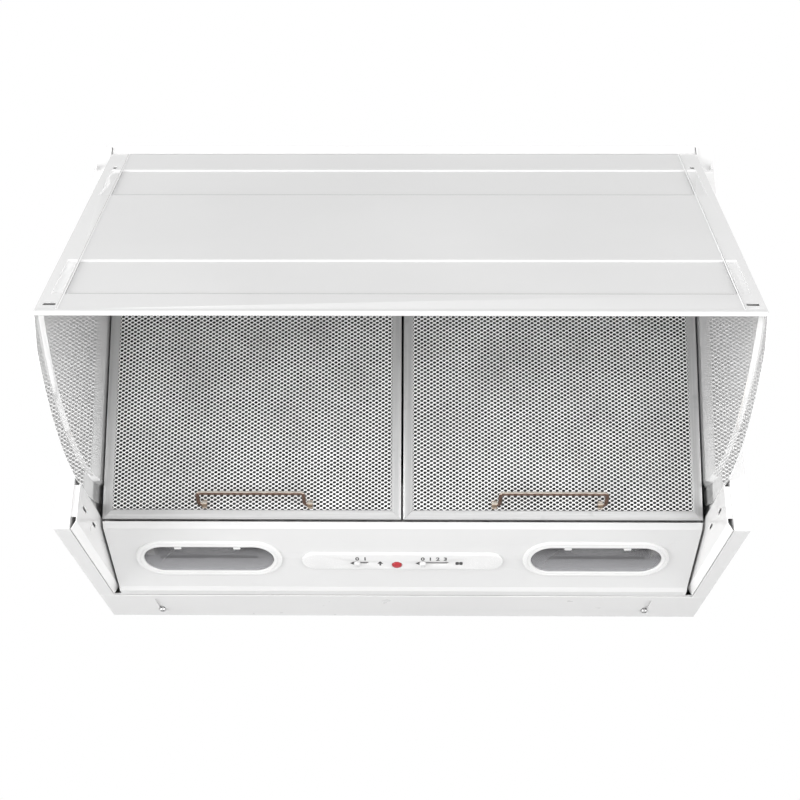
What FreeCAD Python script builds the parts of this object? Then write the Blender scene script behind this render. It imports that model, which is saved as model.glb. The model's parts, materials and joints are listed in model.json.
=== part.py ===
import FreeCAD, Part
import math
import os
from FreeCAD import Vector

os.makedirs("parts", exist_ok=True)

# Integrated cooker hood with a tilting visor. Millimetres: x to the right, z up.
# The model is built with y = 0 at the front plane and z = 0 at the underside.
# save() moves the origin to the middle of the back face.
width = 600.0
depth = 270.0
height = 395.0
sheet = 1.0
wall_x = 286.0             # inner face of each side wall
flange_x = width / 2

# Visor, drawn closed and then tilted open about its hinge
hinge_y = 3.5
hinge_z = 379.3
visor_tilt = 34.2
visor_top = hinge_z + 2.0
visor_length = 328.0
visor_bottom = visor_top - visor_length
visor_face = hinge_y - 7.0
visor_x = 284.2
door_hole_x = 274.5
door_hole_rise = 293.0
visor_skin = 0.8
visor_inside = visor_face + 3.6
channel_depth = 1.4
channels = [(30.0, 92.0), (228.0, 288.0)]     # heights above the bottom edge
centre_x = 266.5
strip_gap = 0.4
channel_end = 277.5        # the channels stop here on the side strips
wing_x = 280.3             # inner face of each wing
wing_radius = 334.8
wing_sheet = 0.9
wing_flare = 318.0         # radius where the wing's border steps outward
wing_sweep = 50.5
pin_radius = 2.5
running_gap = 0.05

# Grease filters, leaning forward at the top
filter_y = 85.0
filter_z = 39.5
filter_lean = 13.0
filter_x = 278.5
filter_gap = 1.0
filter_height = 305.0
filter_thickness = 9.0
frame_border = 9.0
rail_level = filter_height + 1.5
tab_offset = 95.0
handle_span = 98.0
handle_reach = 15.5
handle_angle = 57.0
handle_pin = 8.0           # both wire ends turn towards the middle of the hood
wire_radius = 1.9
handle_axis = (-2.6, 14.0)

# Control panel, sloping down to the back
panel_x = 278.5
panel_y = 88.5
panel_z = 34.0
panel_slope = 17.0
panel_length = 99.3
ledge_z = 38.0
panel_nose = 4.0           # the bevel along the front meets the slope this far down
panel_screw_places = (-250.0, -90.0, 90.0, 250.0)
lamp_x = 184.5
lamp_s = 51.0
lens_size = (123.0, 38.0)
bezel_size = (140.0, 55.0)
strip_size = (192.0, 26.0)
strip_s = 54.0
strip_rise = 2.5
slider_s = 55.5
light_off = -43.0
light_travel = 7.5
fan_off = 19.5
fan_travel = 21.5
knob_size = (8.0, 6.5)
stem = 3.0
indicator_x = -5.2
indicator_s = 58.5
indicator_radius = 4.7

# Rear trim, sliding in depth
trim_front = 199.0
trim_travel = 30.0
trim_screw = (245.2, 246.0)
carrier_z = 1.4
tray_top = 80.0
inner_side_x = 281.0
inner_side_top = 43.5

# Blower and outlet
fan_y = 160.0
fan_z = 225.0
housing_x = 64.0
scroll_start = 78.0
scroll_growth = 21.0
tongue_angle = 110.0
neck_front = fan_y + scroll_start * math.cos(math.radians(tongue_angle))
neck_back = fan_y + scroll_start + scroll_growth
impeller_radius = 70.0
impeller_x = 52.0
blade_count = 32
shaft_radius = 4.0
motor_radius = 42.0
motor_left = -72.0
motor_right = -12.0
mouth_radius = 52.0
outlet_y = 195.0
outlet_radius = 60.0
collar_top = 450.0
damper_z = 397.5
damper_radius = 57.0


# Electrical parts
gland_x = -240.0
gland_y = 236.0
gland_bore = 4.0
loom_x = -190.0
box_x0 = -268.0
box_x1 = -212.0
box_y0 = 205.0
box_z0 = 318.0
box_z1 = 376.0


def block(x0, x1, y0, y1, z0, z1):
    return Part.makeBox(x1 - x0, y1 - y0, z1 - z0, Vector(x0, y0, z0))


def rod(radius, start, end):
    a = Vector(*start)
    b = Vector(*end)
    return Part.makeCylinder(radius, (b - a).Length, a, b - a)


def ring(outer, inner, start, end):
    return rod(outer, start, end).cut(rod(inner, start, end))


def fuse(shapes):
    whole = shapes[0].multiFuse(shapes[1:]) if len(shapes) > 1 else shapes[0]
    return whole.removeSplitter()


def mirrored(shape):
    return shape.mirror(Vector(0, 0, 0), Vector(1, 0, 0))


def section(points, x0, x1):
    # Solid with the (y, z) outline, from x0 to x1.
    wire = Part.makePolygon([Vector(x0, y, z) for y, z in points + points[:1]])
    return Part.Face(wire).extrude(Vector(x1 - x0, 0, 0))


def ribbon(points, thickness):
    # Outline of a folded sheet: the given side, then the mitred far side.
    far = []
    for i, (u, v) in enumerate(points):
        normals = []
        for a, b in ((i - 1, i), (i, i + 1)):
            if a >= 0 and b < len(points):
                du = points[b][0] - points[a][0]
                dv = points[b][1] - points[a][1]
                run = math.hypot(du, dv)
                normals.append((-dv / run, du / run))
        first = normals[0]
        last = normals[-1]
        scale = thickness / (1 + first[0] * last[0] + first[1] * last[1])
        if len(normals) == 1:
            scale = thickness / 2
        far.append((u + (first[0] + last[0]) * scale, v + (first[1] + last[1]) * scale))
    return points + far[::-1]


def stadium(length, height_, x, s, n0, n1):
    # Flat shape with round ends, in a panel's own x, s, n directions.
    r = height_ / 2
    half = length / 2 - r
    middle = block(x - half, x + half, s - r, s + r, n0, n1)
    ends = [rod(r, (x + side * half, s, n0), (x + side * half, s, n1)) for side in (-1, 1)]
    return fuse([middle] + ends)


def tube(radius, points):
    pieces = [rod(radius, a, b) for a, b in zip(points, points[1:])]
    pieces += [Part.makeSphere(radius, Vector(*p)) for p in points[1:-1]]
    return fuse(pieces)


def open_visor(shape):
    # Tilts a closed visor piece out to the open position.
    moved = shape.copy()
    moved.rotate(Vector(0, hinge_y, hinge_z), Vector(1, 0, 0), -visor_tilt)
    return moved


def on_filter(shape):
    # x along the filter, y into it from its front face, z up its height.
    moved = shape.copy()
    moved.rotate(Vector(0, 0, 0), Vector(1, 0, 0), filter_lean)
    moved.translate(Vector(0, filter_y, filter_z))
    return moved


def on_panel(shape):
    # x along the panel, y down its slope, z into the hood from its outer face.
    moved = shape.copy()
    moved.rotate(Vector(0, 0, 0), Vector(1, 0, 0), -panel_slope)
    moved.translate(Vector(0, panel_y, panel_z))
    return moved


# ---- casing ----

def cabinet_holes():
    # Places of the screw holes into the cabinet side: y back from the front, z up.
    return [(100.0, 375.0), (200.0, 375.0), (250.0, 300.0), (250.0, 200.0)]


def casing_side():
    wall = block(wall_x, wall_x + sheet, 0, depth, 0, height)
    front_flange = block(wall_x, flange_x, 0, sheet, 0, height)
    bottom_flange = block(wall_x, flange_x, 0, trim_front - 0.5, 0, sheet)
    top_return = block(wall_x - 12, wall_x, 20, depth - 15, height - 2 * sheet, height - sheet)
    side = fuse([wall, front_flange, bottom_flange, top_return])
    side = side.cut(block(wall_x - 1, flange_x, trim_front - 0.5, depth, 0, carrier_z))
    for y, z in cabinet_holes():
        side = side.cut(rod(2.25, (wall_x - 1, y, z), (wall_x + 2, y, z)))
    return side


def casing_back():
    inner = depth - sheet
    wall = block(-wall_x, wall_x, inner, depth, carrier_z, height - sheet)
    top_return = block(-wall_x + 13, wall_x - 13, inner - 12, inner, height - 2 * sheet, height - sheet)
    top_return = top_return.cut(block(-78, 78, inner - 14, inner, height - 3 * sheet, height))
    returns = [
        block(wall_x - sheet, wall_x, inner - 12, inner, 16, height - 3 * sheet),
        block(-wall_x, -wall_x + sheet, inner - 12, inner, 16, height - 3 * sheet),
    ]
    return fuse([wall, top_return] + returns)


def casing_top():
    plate = block(-wall_x, wall_x, 0, depth, height - sheet, height)
    lip = block(-284, 284, 0, sheet, height - 9, height)
    top = fuse([plate, lip])
    top = top.cut(rod(outlet_radius - 1, (0, outlet_y, height - 5), (0, outlet_y, height + 5)))
    return top.cut(rod(8, (gland_x, gland_y, height - 5), (gland_x, gland_y, height + 5)))


def casing_screws():
    spots = [(side * 280, y) for side in (-1, 1) for y in (60.0, 150.0, 235.0)]
    spots += [(side * 150, 263.0) for side in (-1, 1)]
    heads = [rod(3.5, (x, y, height), (x, y, height + 2)) for x, y in spots]
    shanks = [rod(1.6, (x, y, height - 6), (x, y, height)) for x, y in spots]
    return Part.makeCompound([fuse([head, shank]) for head, shank in zip(heads, shanks)])


def inner_side():
    # Lower side liner with a folded rail along its bottom edge.
    outline = ribbon([(inner_side_x, inner_side_top), (inner_side_x, 8), (285.0, 0.6)], 0.8)
    wire = Part.makePolygon([Vector(x, 2, z) for x, z in outline + outline[:1]])
    liner = Part.Face(wire).extrude(Vector(0, trim_front - 6, 0))
    front_fold = block(inner_side_x + 0.4, wall_x, 2, 2.8, 12, inner_side_top - 2)
    slots = [block(280, 283, y, y + 14, 26, 29) for y in (20.0, 60.0)]
    return fuse([liner, front_fold]).cut(slots[0]).cut(slots[1])


def front_baffle():
    # Closes the space above the filters and carries their top tabs.
    angle = math.radians(filter_lean)
    up = (-math.sin(angle), math.cos(angle))
    inward = (math.cos(angle), math.sin(angle))
    rail = []
    for across in (14.0, -3.0):
        y = filter_y + up[0] * rail_level + inward[0] * across
        z = filter_z + up[1] * rail_level + inward[1] * across
        rail.append((y, z))
    front = rail[1][0]
    outline = ribbon(rail + [(front, height - 3.2), (front + 14, height - 3.2)], -sheet)
    baffle = section(outline, -279, 279)
    for centre in (-filter_centre(), filter_centre()):
        for side in (-1, 1):
            x = centre + side * tab_offset
            baffle = baffle.cut(on_filter(block(x - 8, x + 8, 0.8, 8.2, rail_level - 3, rail_level + 3)))
    return baffle


def floor_carrier():
    # Inner floor behind the control panel; the trim slides under it.
    back = depth - sheet
    outline = ribbon([(trim_front - 0.4, carrier_z), (back, carrier_z), (back, 15)], sheet)
    floor = section(outline, -wall_x, wall_x)
    for side in (-1, 1):
        x = side * trim_screw[0]
        floor = floor.cut(rod(2, (x, trim_screw[1], 0), (x, trim_screw[1], 5)))
    return floor


def rear_trim():
    strip = block(-flange_x, flange_x, trim_front, depth, 0, sheet)
    for side in (-1, 1):
        x = side * trim_screw[0]
        y = trim_screw[1]
        far = y - trim_travel - 3
        ends = [rod(2.5, (x, place, -1), (x, place, 2)) for place in (y, far)]
        strip = strip.cut(fuse([block(x - 2.5, x + 2.5, far, y, -1, 2)] + ends))
    return strip


def trim_screws():
    screws = []
    for side in (-1, 1):
        x = side * trim_screw[0]
        y = trim_screw[1]
        screws.append(fuse([rod(4, (x, y, -2.5), (x, y, -0.3)), rod(2, (x, y, -0.3), (x, y, 7))]))
    return Part.makeCompound(screws)


def service_tray():
    # Separates lamps and switches from the air path.
    rear = trim_front + 2
    points = [(110, ledge_z), (98, ledge_z), (98, tray_top), (rear, tray_top), (rear, carrier_z + sheet)]
    tray = section(ribbon(points, -sheet), -279, 279)
    for x in panel_screw_places:
        tray = tray.cut(rod(1.6, (x, 101, ledge_z - 3), (x, 101, ledge_z + 3)))
    return tray.cut(rod(6, (loom_x, 180, tray_top - 4), (loom_x, 180, tray_top + 4)))


# ---- visor ----

def channelled(x0, x1):
    # Outer skin between two x places, with its two pressed channels and folded edges.
    face = [(visor_inside, visor_top), (visor_face, visor_top)]
    for low, high in channels[::-1]:
        z_low = visor_bottom + low
        z_high = visor_bottom + high
        face.append((visor_face, z_high))
        face.append((visor_face + channel_depth, z_high - channel_depth))
        face.append((visor_face + channel_depth, z_low + channel_depth))
        face.append((visor_face, z_low))
    face += [(visor_face, visor_bottom + 3), (visor_inside, visor_bottom + 3)]
    return section(ribbon(face, visor_skin), x0, x1)


def visor_panel():
    return open_visor(channelled(-centre_x, centre_x))


def visor_liner():
    low = visor_bottom + 4
    high = visor_top - 9
    plate = block(-wing_x, wing_x, visor_inside, visor_inside + visor_skin, low, high)
    return open_visor(plate)


def visor_lip():
    # Rounded nose along the bottom edge.
    end = visor_x - wing_sheet
    nose = block(-end, end, visor_face - 0.6, visor_inside, visor_bottom - 1.5, visor_bottom + 2.9)
    edges = [e for e in nose.Edges if e.Length > end and e.CenterOfMass.z < visor_bottom]
    return open_visor(nose.makeFillet(1.3, edges))


def wing_outline():
    rim = visor_x - wing_sheet
    inner = [(wing_x, 3.0), (wing_x, wing_flare - 4), (rim, wing_flare), (rim, wing_radius)]
    return ribbon(inner, -wing_sheet)


def visor_side():
    # Side strip of the face and the wing behind it.
    flat = [(visor_inside, visor_top), (visor_face, visor_top)]
    flat += [(visor_face, visor_bottom + 3), (visor_inside, visor_bottom + 3)]
    strip = [channelled(centre_x + strip_gap, channel_end), section(ribbon(flat, visor_skin), channel_end, wing_x)]
    for low, high in channels:
        back = visor_face + channel_depth + visor_skin
        strip.append(block(channel_end - 0.4, channel_end + 0.4, visor_face, back, visor_bottom + low, visor_bottom + high))
    border = block(wing_x, visor_x, visor_face, visor_face + wing_sheet, visor_bottom + 3, visor_top)
    points = [Vector(x, hinge_y, hinge_z - r) for x, r in wing_outline()]
    profile = Part.Face(Part.makePolygon(points + points[:1]))
    sector = profile.revolve(Vector(0, hinge_y, hinge_z), Vector(1, 0, 0), wing_sweep)
    lead = profile.extrude(Vector(0, visor_face - hinge_y + 0.1, 0))
    eye = rod(13, (wing_x, hinge_y, hinge_z), (wing_x + wing_sheet, hinge_y, hinge_z))
    eye = eye.cut(block(wing_x - 1, wing_x + 2, hinge_y - 20, visor_face, hinge_z - 20, hinge_z + 20))
    eye = eye.cut(block(wing_x - 1, wing_x + 2, hinge_y - 20, hinge_y + 20, visor_top, visor_top + 20))
    web = block(wing_x, wing_x + wing_sheet, visor_face, hinge_y + 8, hinge_z - 12, visor_top)
    side = fuse(strip + [border, sector, lead, eye, web])
    hole = rod(pin_radius + running_gap, (wing_x - 2, hinge_y, hinge_z), (wing_x + 2, hinge_y, hinge_z))
    side = side.cut(hole)
    side = side.cut(block(276, wing_x, visor_face + 1, visor_inside + 1, hinge_z - 6, visor_top + 1))
    slot = block(269.5, 279.5, visor_face - 1, visor_face + 2, visor_bottom + 10, visor_bottom + 14.5)
    side = side.cut(slot)
    # The wing's rim runs into the end of the lip.
    corner = [(-8.0, 40.0), (-8.0, visor_bottom - 1.6), (0.0, visor_bottom - 1.8), (25.0, 45.2), (25.0, 40.0)]
    side = side.cut(section(corner, wing_x - 4, visor_x + 1))
    z = visor_bottom + door_hole_rise
    return side.cut(rod(2.25, (door_hole_x, visor_face - 1, z), (door_hole_x, visor_face + 2, z)))


def hinge_bracket():
    plate = block(284.6, wall_x, -2, 42, hinge_z - 14, height - 3)
    hook = block(284.6, flange_x - 1, -2, 0, hinge_z - 14, hinge_z - 9)
    curl = block(flange_x - 4, flange_x - 1, -5, 0, hinge_z - 14, hinge_z - 9)
    whole = fuse([plate, hook, curl])
    for y in (20.0, 34.0):
        rivet = rod(2.2, (283.6, y, hinge_z - 6), (284.6, y, hinge_z - 6))
        whole = fuse([whole, rivet])
    return whole.cut(rod(pin_radius, (283, hinge_y, hinge_z), (287, hinge_y, hinge_z)))


def hinge_pins():
    shank = rod(pin_radius, (277.5, hinge_y, hinge_z), (wall_x, hinge_y, hinge_z))
    head = rod(4.2, (277.0, hinge_y, hinge_z), (279.4, hinge_y, hinge_z))
    pin = fuse([shank, head])
    return Part.makeCompound([pin, mirrored(pin)])


# ---- filters ----

def filter_centre():
    return (filter_x + filter_gap) / 2


def pad_extent():
    # Half width, bottom and top of the mesh pack inside its frame.
    half = (filter_x - filter_gap) / 2 - 5
    return half, 5.0, filter_height - 5.0


def mesh_pack(centre):
    half, low, high = pad_extent()
    return on_filter(block(centre - half, centre + half, 1, filter_thickness - 1, low, high))


def filter_frame(centre):
    half = (filter_x - filter_gap) / 2
    frame = block(centre - half, centre + half, 0, filter_thickness, 0, filter_height)
    inner = half - frame_border
    top = filter_height - frame_border
    frame = frame.cut(block(centre - inner, centre + inner, -1, filter_thickness + 1, frame_border, top))
    pack_half, low, high = pad_extent()
    frame = frame.cut(block(centre - pack_half, centre + pack_half, 1, filter_thickness - 1, low, high))
    for side in (-1, 1):
        x = centre + side * tab_offset
        tab = block(x - 6, x + 6, 3, 6, filter_height - 2, filter_height + 8)
        frame = fuse([frame, tab])
    return on_filter(frame)


def legs(centre):
    # Places of the two wire legs, and the way their ends turn.
    inward = -1 if centre > 0 else 1
    return [centre - handle_span / 2, centre + handle_span / 2], inward


def handle_pads(centre):
    y, z = handle_axis
    places, inward = legs(centre)
    pads = []
    for leg in places:
        x = leg + inward * (wire_radius + 3.4)
        pad = block(x - 2.5, x + 2.5, y - 2.6, 0, z - 4, z + 4)
        hole = rod(wire_radius + running_gap, (x - 4, y, z), (x + 4, y, z))
        pads.append(on_filter(pad.cut(hole)))
    return Part.makeCompound(pads)


def handle(centre):
    y, z = handle_axis
    places, inward = legs(centre)
    angle = math.radians(handle_angle)
    far = (y - handle_reach * math.sin(angle), z + handle_reach * math.cos(angle))
    route = [
        (places[0] + inward * handle_pin, y, z),
        (places[0], y, z),
        (places[0], far[0], far[1]),
        (places[1], far[0], far[1]),
        (places[1], y, z),
        (places[1] + inward * handle_pin, y, z),
    ]
    return on_filter(tube(wire_radius, route))


# ---- control panel, lamps and switches ----

def control_panel():
    angle = math.radians(panel_slope)
    end_y = panel_y + panel_length * math.cos(angle)
    end_z = panel_z - panel_length * math.sin(angle)
    points = [
        (104, ledge_z),
        (panel_y - 2, ledge_z),
        (panel_y + panel_nose * math.cos(angle), panel_z - panel_nose * math.sin(angle)),
        (end_y, end_z),
        (end_y + 5, end_z - 3),
        (end_y + 14.5, end_z - 4.2),
        (end_y + 14.5, 12),
    ]
    panel = section(ribbon(points, sheet), -panel_x, panel_x)
    for side in (-1, 1):
        opening = stadium(bezel_size[0] - 12, bezel_size[1] - 12, side * lamp_x, lamp_s, -3, 4)
        panel = panel.cut(on_panel(opening))
    window = block(-60, 60, slider_s - 5, slider_s + 9, -3, 4)
    panel = panel.cut(on_panel(window))
    for x in panel_screw_places:
        panel = panel.cut(rod(1.6, (x, 101, ledge_z - 3), (x, 101, ledge_z + 3)))
    return panel


def panel_screws():
    screws = []
    for x in panel_screw_places:
        head = rod(3.2, (x, 101, ledge_z - sheet - 1.8), (x, 101, ledge_z - sheet))
        shank = rod(1.6, (x, 101, ledge_z - sheet), (x, 101, ledge_z + 3))
        screws.append(fuse([head, shank]))
    return Part.makeCompound(screws)


def lamp_bezel(side):
    outer = stadium(bezel_size[0], bezel_size[1], side * lamp_x, lamp_s, -2.2, 0)
    outer = outer.cut(stadium(lens_size[0] + 1, lens_size[1] + 1, side * lamp_x, lamp_s, -4, 2))
    return on_panel(outer)


def lamp_lens(side):
    x = side * lamp_x
    plate = stadium(lens_size[0], lens_size[1], x, lamp_s, -1.6, 0.4)
    front = lamp_s - lens_size[1] / 2
    clips = [block(x + dx - 5, x + dx + 5, front + 0.2, front + 1.8, 0.2, 5) for dx in (-28.0, 28.0)]
    return on_panel(fuse([plate] + clips))


def lamp_box(side):
    outer = block(108, 272, 25, 79, 1, 38)
    inner = block(108.8, 271.2, 25.8, 78.2, 0, 37.2)
    box = outer.cut(inner)
    return on_panel(box if side > 0 else mirrored(box))


def lamp_holder(side):
    body = rod(14, (238, lamp_s, 20), (271.2, lamp_s, 20))
    body = body.cut(rod(7.2, (237, lamp_s, 20), (262, lamp_s, 20)))
    return on_panel(body if side > 0 else mirrored(body))


def lamp_bulb(side):
    cap = rod(7, (236, lamp_s, 20), (261, lamp_s, 20))
    neck = Part.makeCone(12.5, 7, 14, Vector(222, lamp_s, 20), Vector(1, 0, 0))
    glass = rod(12.5, (160, lamp_s, 20), (222, lamp_s, 20))
    tip = Part.makeSphere(12.5, Vector(160, lamp_s, 20))
    bulb = fuse([cap, neck, glass, tip])
    return on_panel(bulb if side > 0 else mirrored(bulb))


def slider_slots(margin, n0, n1):
    slots = []
    for start, travel in ((light_off, light_travel), (fan_off, fan_travel)):
        x0 = start - stem / 2 - margin
        x1 = start + travel + stem / 2 + margin
        slots.append(block(x0, x1, slider_s - stem / 2 - 0.5, slider_s + stem / 2 + 0.5, n0, n1))
    return slots


def control_strip():
    strip = stadium(strip_size[0], strip_size[1], 0, strip_s, -strip_rise, 0)
    for slot in slider_slots(3.0, -5, 3):
        strip = strip.cut(slot)
    hole = rod(indicator_radius + 0.1, (indicator_x, indicator_s, -5), (indicator_x, indicator_s, 3))
    return on_panel(strip.cut(hole))


def switch_body():
    body = block(-58, 58, slider_s - 12, slider_s + 12, sheet, 22)
    for slot in slider_slots(1.0, 0, 14):
        body = body.cut(slot)
    return on_panel(body)


def slider(start):
    low = -strip_rise - 0.3
    half_x = knob_size[0] / 2
    half_s = knob_size[1] / 2
    cap = block(start - half_x, start + half_x, slider_s - half_s, slider_s + half_s, low - 3, low)
    cap = cap.makeFillet(1.2, [e for e in cap.Edges if e.CenterOfMass.z < low - 0.1])
    half = stem / 2
    post = block(start - half, start + half, slider_s - half, slider_s + half, low - 1, 13)
    return on_panel(fuse([cap, post]))


def indicator():
    body = rod(indicator_radius, (indicator_x, indicator_s, -4), (indicator_x, indicator_s, sheet))
    return on_panel(body.makeFillet(1.4, [e for e in body.Edges if e.CenterOfMass.z < -3.9]))


# ---- blower, motor and outlet ----

def scroll(x0, x1, inset, top):
    # Volute outline: the radius grows evenly from the tongue round to the back wall.
    points = []
    for step in range(21):
        share = step / 20
        angle = math.radians(tongue_angle + share * (360 - tongue_angle))
        radius = scroll_start + scroll_growth * share - inset
        points.append(Vector(x0, fan_y + radius * math.cos(angle), fan_z + radius * math.sin(angle)))
    curve = Part.BSplineCurve()
    curve.interpolate(points)
    start = points[0]
    end = points[-1]
    front = neck_front + inset
    corners = [end, Vector(x0, end.y, top), Vector(x0, front, top), Vector(x0, front, start.z), start]
    if abs(front - start.y) < 0.01:
        corners.pop(3)
    edges = [curve.toShape()]
    edges += [Part.makeLine(a, b) for a, b in zip(corners, corners[1:])]
    return Part.Face(Part.Wire(edges)).extrude(Vector(x1 - x0, 0, 0))


def housing_lugs():
    # Places of the screws that join the two halves: y, z.
    spots = []
    for angle in (150.0, 215.0, 270.0, 325.0):
        share = (angle - tongue_angle) / (360 - tongue_angle)
        radius = scroll_start + scroll_growth * share + 3.5
        a = math.radians(angle)
        spots.append((fan_y + radius * math.cos(a), fan_z + radius * math.sin(a)))
    return spots


def housing_half():
    # The half at positive x.
    neck_top = height - sheet
    shell = scroll(0, housing_x, 0, neck_top)
    flange = block(0, 76, neck_front - 9, neck_back + 9, neck_top - 3, neck_top)
    lugs = [rod(5.5, (0, y, z), (9, y, z)) for y, z in housing_lugs()]
    half = fuse([shell, flange] + lugs)
    half = half.cut(scroll(-1, housing_x - 2, 2, height + 5))
    half = half.cut(rod(58, (housing_x - 4, fan_y, fan_z), (housing_x + 4, fan_y, fan_z)))
    for y, z in housing_lugs():
        half = half.cut(rod(1.7, (-1, y, z), (10, y, z)))
    return half


def housing_screws():
    screws = []
    for y, z in housing_lugs():
        screws.append(fuse([rod(1.7, (-9, y, z), (9, y, z)), rod(3.4, (9, y, z), (11, y, z))]))
    return Part.makeCompound(screws)


def inlet_rings():
    mouth = ring(58, mouth_radius, (58, fan_y, fan_z), (66, fan_y, fan_z))
    flange = ring(68, 56, (housing_x, fan_y, fan_z), (66, fan_y, fan_z))
    whole = fuse([mouth, flange])
    return Part.makeCompound([whole, mirrored(whole)])


def impeller():
    disc = rod(impeller_radius - 1, (-1, fan_y, fan_z), (1, fan_y, fan_z))
    hub = rod(11, (-8, fan_y, fan_z), (10, fan_y, fan_z))
    hoops = []
    for side in (-1, 1):
        a = side * (impeller_x - 3)
        b = side * impeller_x
        hoops.append(ring(impeller_radius, impeller_radius - 9, (a, fan_y, fan_z), (b, fan_y, fan_z)))
    blades = []
    for i in range(blade_count):
        blade = block(-impeller_x + 1, impeller_x - 1, -0.6, 0.6, impeller_radius - 13, impeller_radius - 1)
        blade.rotate(Vector(0, 0, impeller_radius - 7), Vector(1, 0, 0), 28)
        blade.rotate(Vector(0, 0, 0), Vector(1, 0, 0), i * 360 / blade_count)
        blade.translate(Vector(0, fan_y, fan_z))
        blades.append(blade)
    wheel = fuse([disc, hub] + hoops + blades)
    return wheel.cut(rod(shaft_radius, (-10, fan_y, fan_z), (12, fan_y, fan_z)))


def motor_can():
    outer = rod(motor_radius, (motor_left, fan_y, fan_z), (motor_right, fan_y, fan_z))
    inner = rod(motor_radius - 3, (motor_left + 3, fan_y, fan_z), (motor_right - 3, fan_y, fan_z))
    bore = rod(shaft_radius + running_gap, (motor_left - 1, fan_y, fan_z), (motor_right + 1, fan_y, fan_z))
    return outer.cut(inner).cut(bore)


def motor_stator():
    return ring(motor_radius - 3, 30.8, (motor_left + 12, fan_y, fan_z), (motor_right - 12, fan_y, fan_z))


def motor_rotor():
    core = rod(30, (motor_left + 12, fan_y, fan_z), (motor_right - 12, fan_y, fan_z))
    shaft = rod(shaft_radius, (motor_left - 4, fan_y, fan_z), (9, fan_y, fan_z))
    return fuse([core, shaft])


def motor_bracket():
    # Three arms from the motor's rim to the left inlet ring.
    x0 = -69.0
    x1 = -66.0
    rim = ring(motor_radius + 5, motor_radius, (x0, fan_y, fan_z), (x1, fan_y, fan_z))
    foot = ring(68, 61, (x0, fan_y, fan_z), (x1, fan_y, fan_z))
    arms = []
    for i in range(3):
        arm = block(x0, x1, -6, 6, motor_radius + 2, 64)
        arm.rotate(Vector(0, 0, 0), Vector(1, 0, 0), i * 120 + 60)
        arm.translate(Vector(0, fan_y, fan_z))
        arms.append(arm)
    return fuse([rim, foot] + arms)


def outlet_collar():
    tube_ = ring(outlet_radius, outlet_radius - 1.8, (0, outlet_y, height), (0, outlet_y, collar_top))
    flange = ring(74, outlet_radius - 1.8, (0, outlet_y, height), (0, outlet_y, height + 2))
    collar = fuse([tube_, flange])
    collar = collar.cut(rod(1.5, (-62, outlet_y, damper_z), (62, outlet_y, damper_z)))
    for x, y in collar_spots():
        collar = collar.cut(rod(1.6, (x, y, height - 1), (x, y, height + 3)))
    return collar


def collar_spots():
    reach = 68 * math.sqrt(0.5)
    return [(sx * reach, outlet_y + sy * reach) for sx in (-1, 1) for sy in (-1, 1)]


def collar_screws():
    screws = []
    for x, y in collar_spots():
        head = rod(3.3, (x, y, height + 2), (x, y, height + 4))
        screws.append(fuse([head, rod(1.6, (x, y, height), (x, y, height + 2))]))
    return Part.makeCompound(screws)


def damper_pin():
    return rod(1.5, (-outlet_radius + 0.3, outlet_y, damper_z), (outlet_radius - 0.3, outlet_y, damper_z))


def damper_flap(direction, knuckles):
    # direction is -1 for the front flap and 1 for the back one.
    disc = rod(damper_radius, (0, outlet_y, damper_z - 0.5), (0, outlet_y, damper_z + 0.5))
    near = outlet_y + direction * 3.6
    far = outlet_y + direction * 60
    keep = block(-60, 60, min(near, far), max(near, far), damper_z - 2, damper_z + 2)
    pieces = [disc.common(keep)]
    for x0, x1 in knuckles:
        pieces.append(rod(2.8, (x0, outlet_y, damper_z), (x1, outlet_y, damper_z)))
        ends = sorted(outlet_y + direction * reach for reach in (2.0, 5.0))
        pieces.append(block(x0, x1, ends[0], ends[1], damper_z - 0.5, damper_z + 0.5))
    return fuse(pieces).cut(rod(1.5 + running_gap, (-60, outlet_y, damper_z), (60, outlet_y, damper_z)))


# ---- electrical ----

def terminal_box():
    outer = block(box_x0, box_x1, box_y0, depth - sheet, box_z0, box_z1)
    inner = block(box_x0 + 2, box_x1 - 2, box_y0 - 1, depth - sheet - 2, box_z0 + 2, box_z1 - 2)
    box = outer.cut(inner)
    box = box.cut(rod(4, (gland_x, gland_y, box_z1 - 4), (gland_x, gland_y, box_z1 + 2)))
    return box.cut(rod(4.5, (gland_x, gland_y, box_z0 - 2), (gland_x, gland_y, box_z0 + 4)))


def terminal_lid():
    return block(box_x0, box_x1, box_y0 - 2, box_y0, box_z0, box_z1)


def cable_gland():
    body = rod(8, (gland_x, gland_y, height - 5), (gland_x, gland_y, height + 10))
    collar = rod(12, (gland_x, gland_y, height), (gland_x, gland_y, height + 8))
    nut = rod(12, (gland_x, gland_y, height - 6), (gland_x, gland_y, height - sheet))
    bore = rod(gland_bore, (gland_x, gland_y, height - 8), (gland_x, gland_y, height + 12))
    return fuse([body, collar, nut]).cut(bore)


def capacitor():
    can = rod(14, (-160, depth - sheet - 15, 250), (-160, depth - sheet - 15, 312))
    boss = rod(6, (-160, depth - sheet - 15, 244), (-160, depth - sheet - 15, 250))
    return fuse([can, boss])


def wiring_loom():
    to_switches = tube(2.6, [
        (gland_x, gland_y, box_z0 + 12),
        (gland_x, gland_y, 150),
        (loom_x, 180, 120),
        (loom_x, 180, 66),
        (-66, 147, 50),
    ])
    to_motor = tube(2.0, [
        (-222, 222, box_z0 - 1.5),
        (-222, 200, 270),
        (-90, fan_y + 10, fan_z + 26),
        (motor_left - 1, fan_y + 8, fan_z + 24),
    ])
    return Part.makeCompound([to_switches, to_motor])


def save(shape, name):
    moved = shape.copy()
    moved.translate(Vector(0, -depth, -height / 2))
    moved.exportStep("parts/" + name + ".step")


screws = casing_screws()
side_sheet = casing_side().cut(screws)
half_right = housing_half()
wing = visor_side()
centre = filter_centre()

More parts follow.
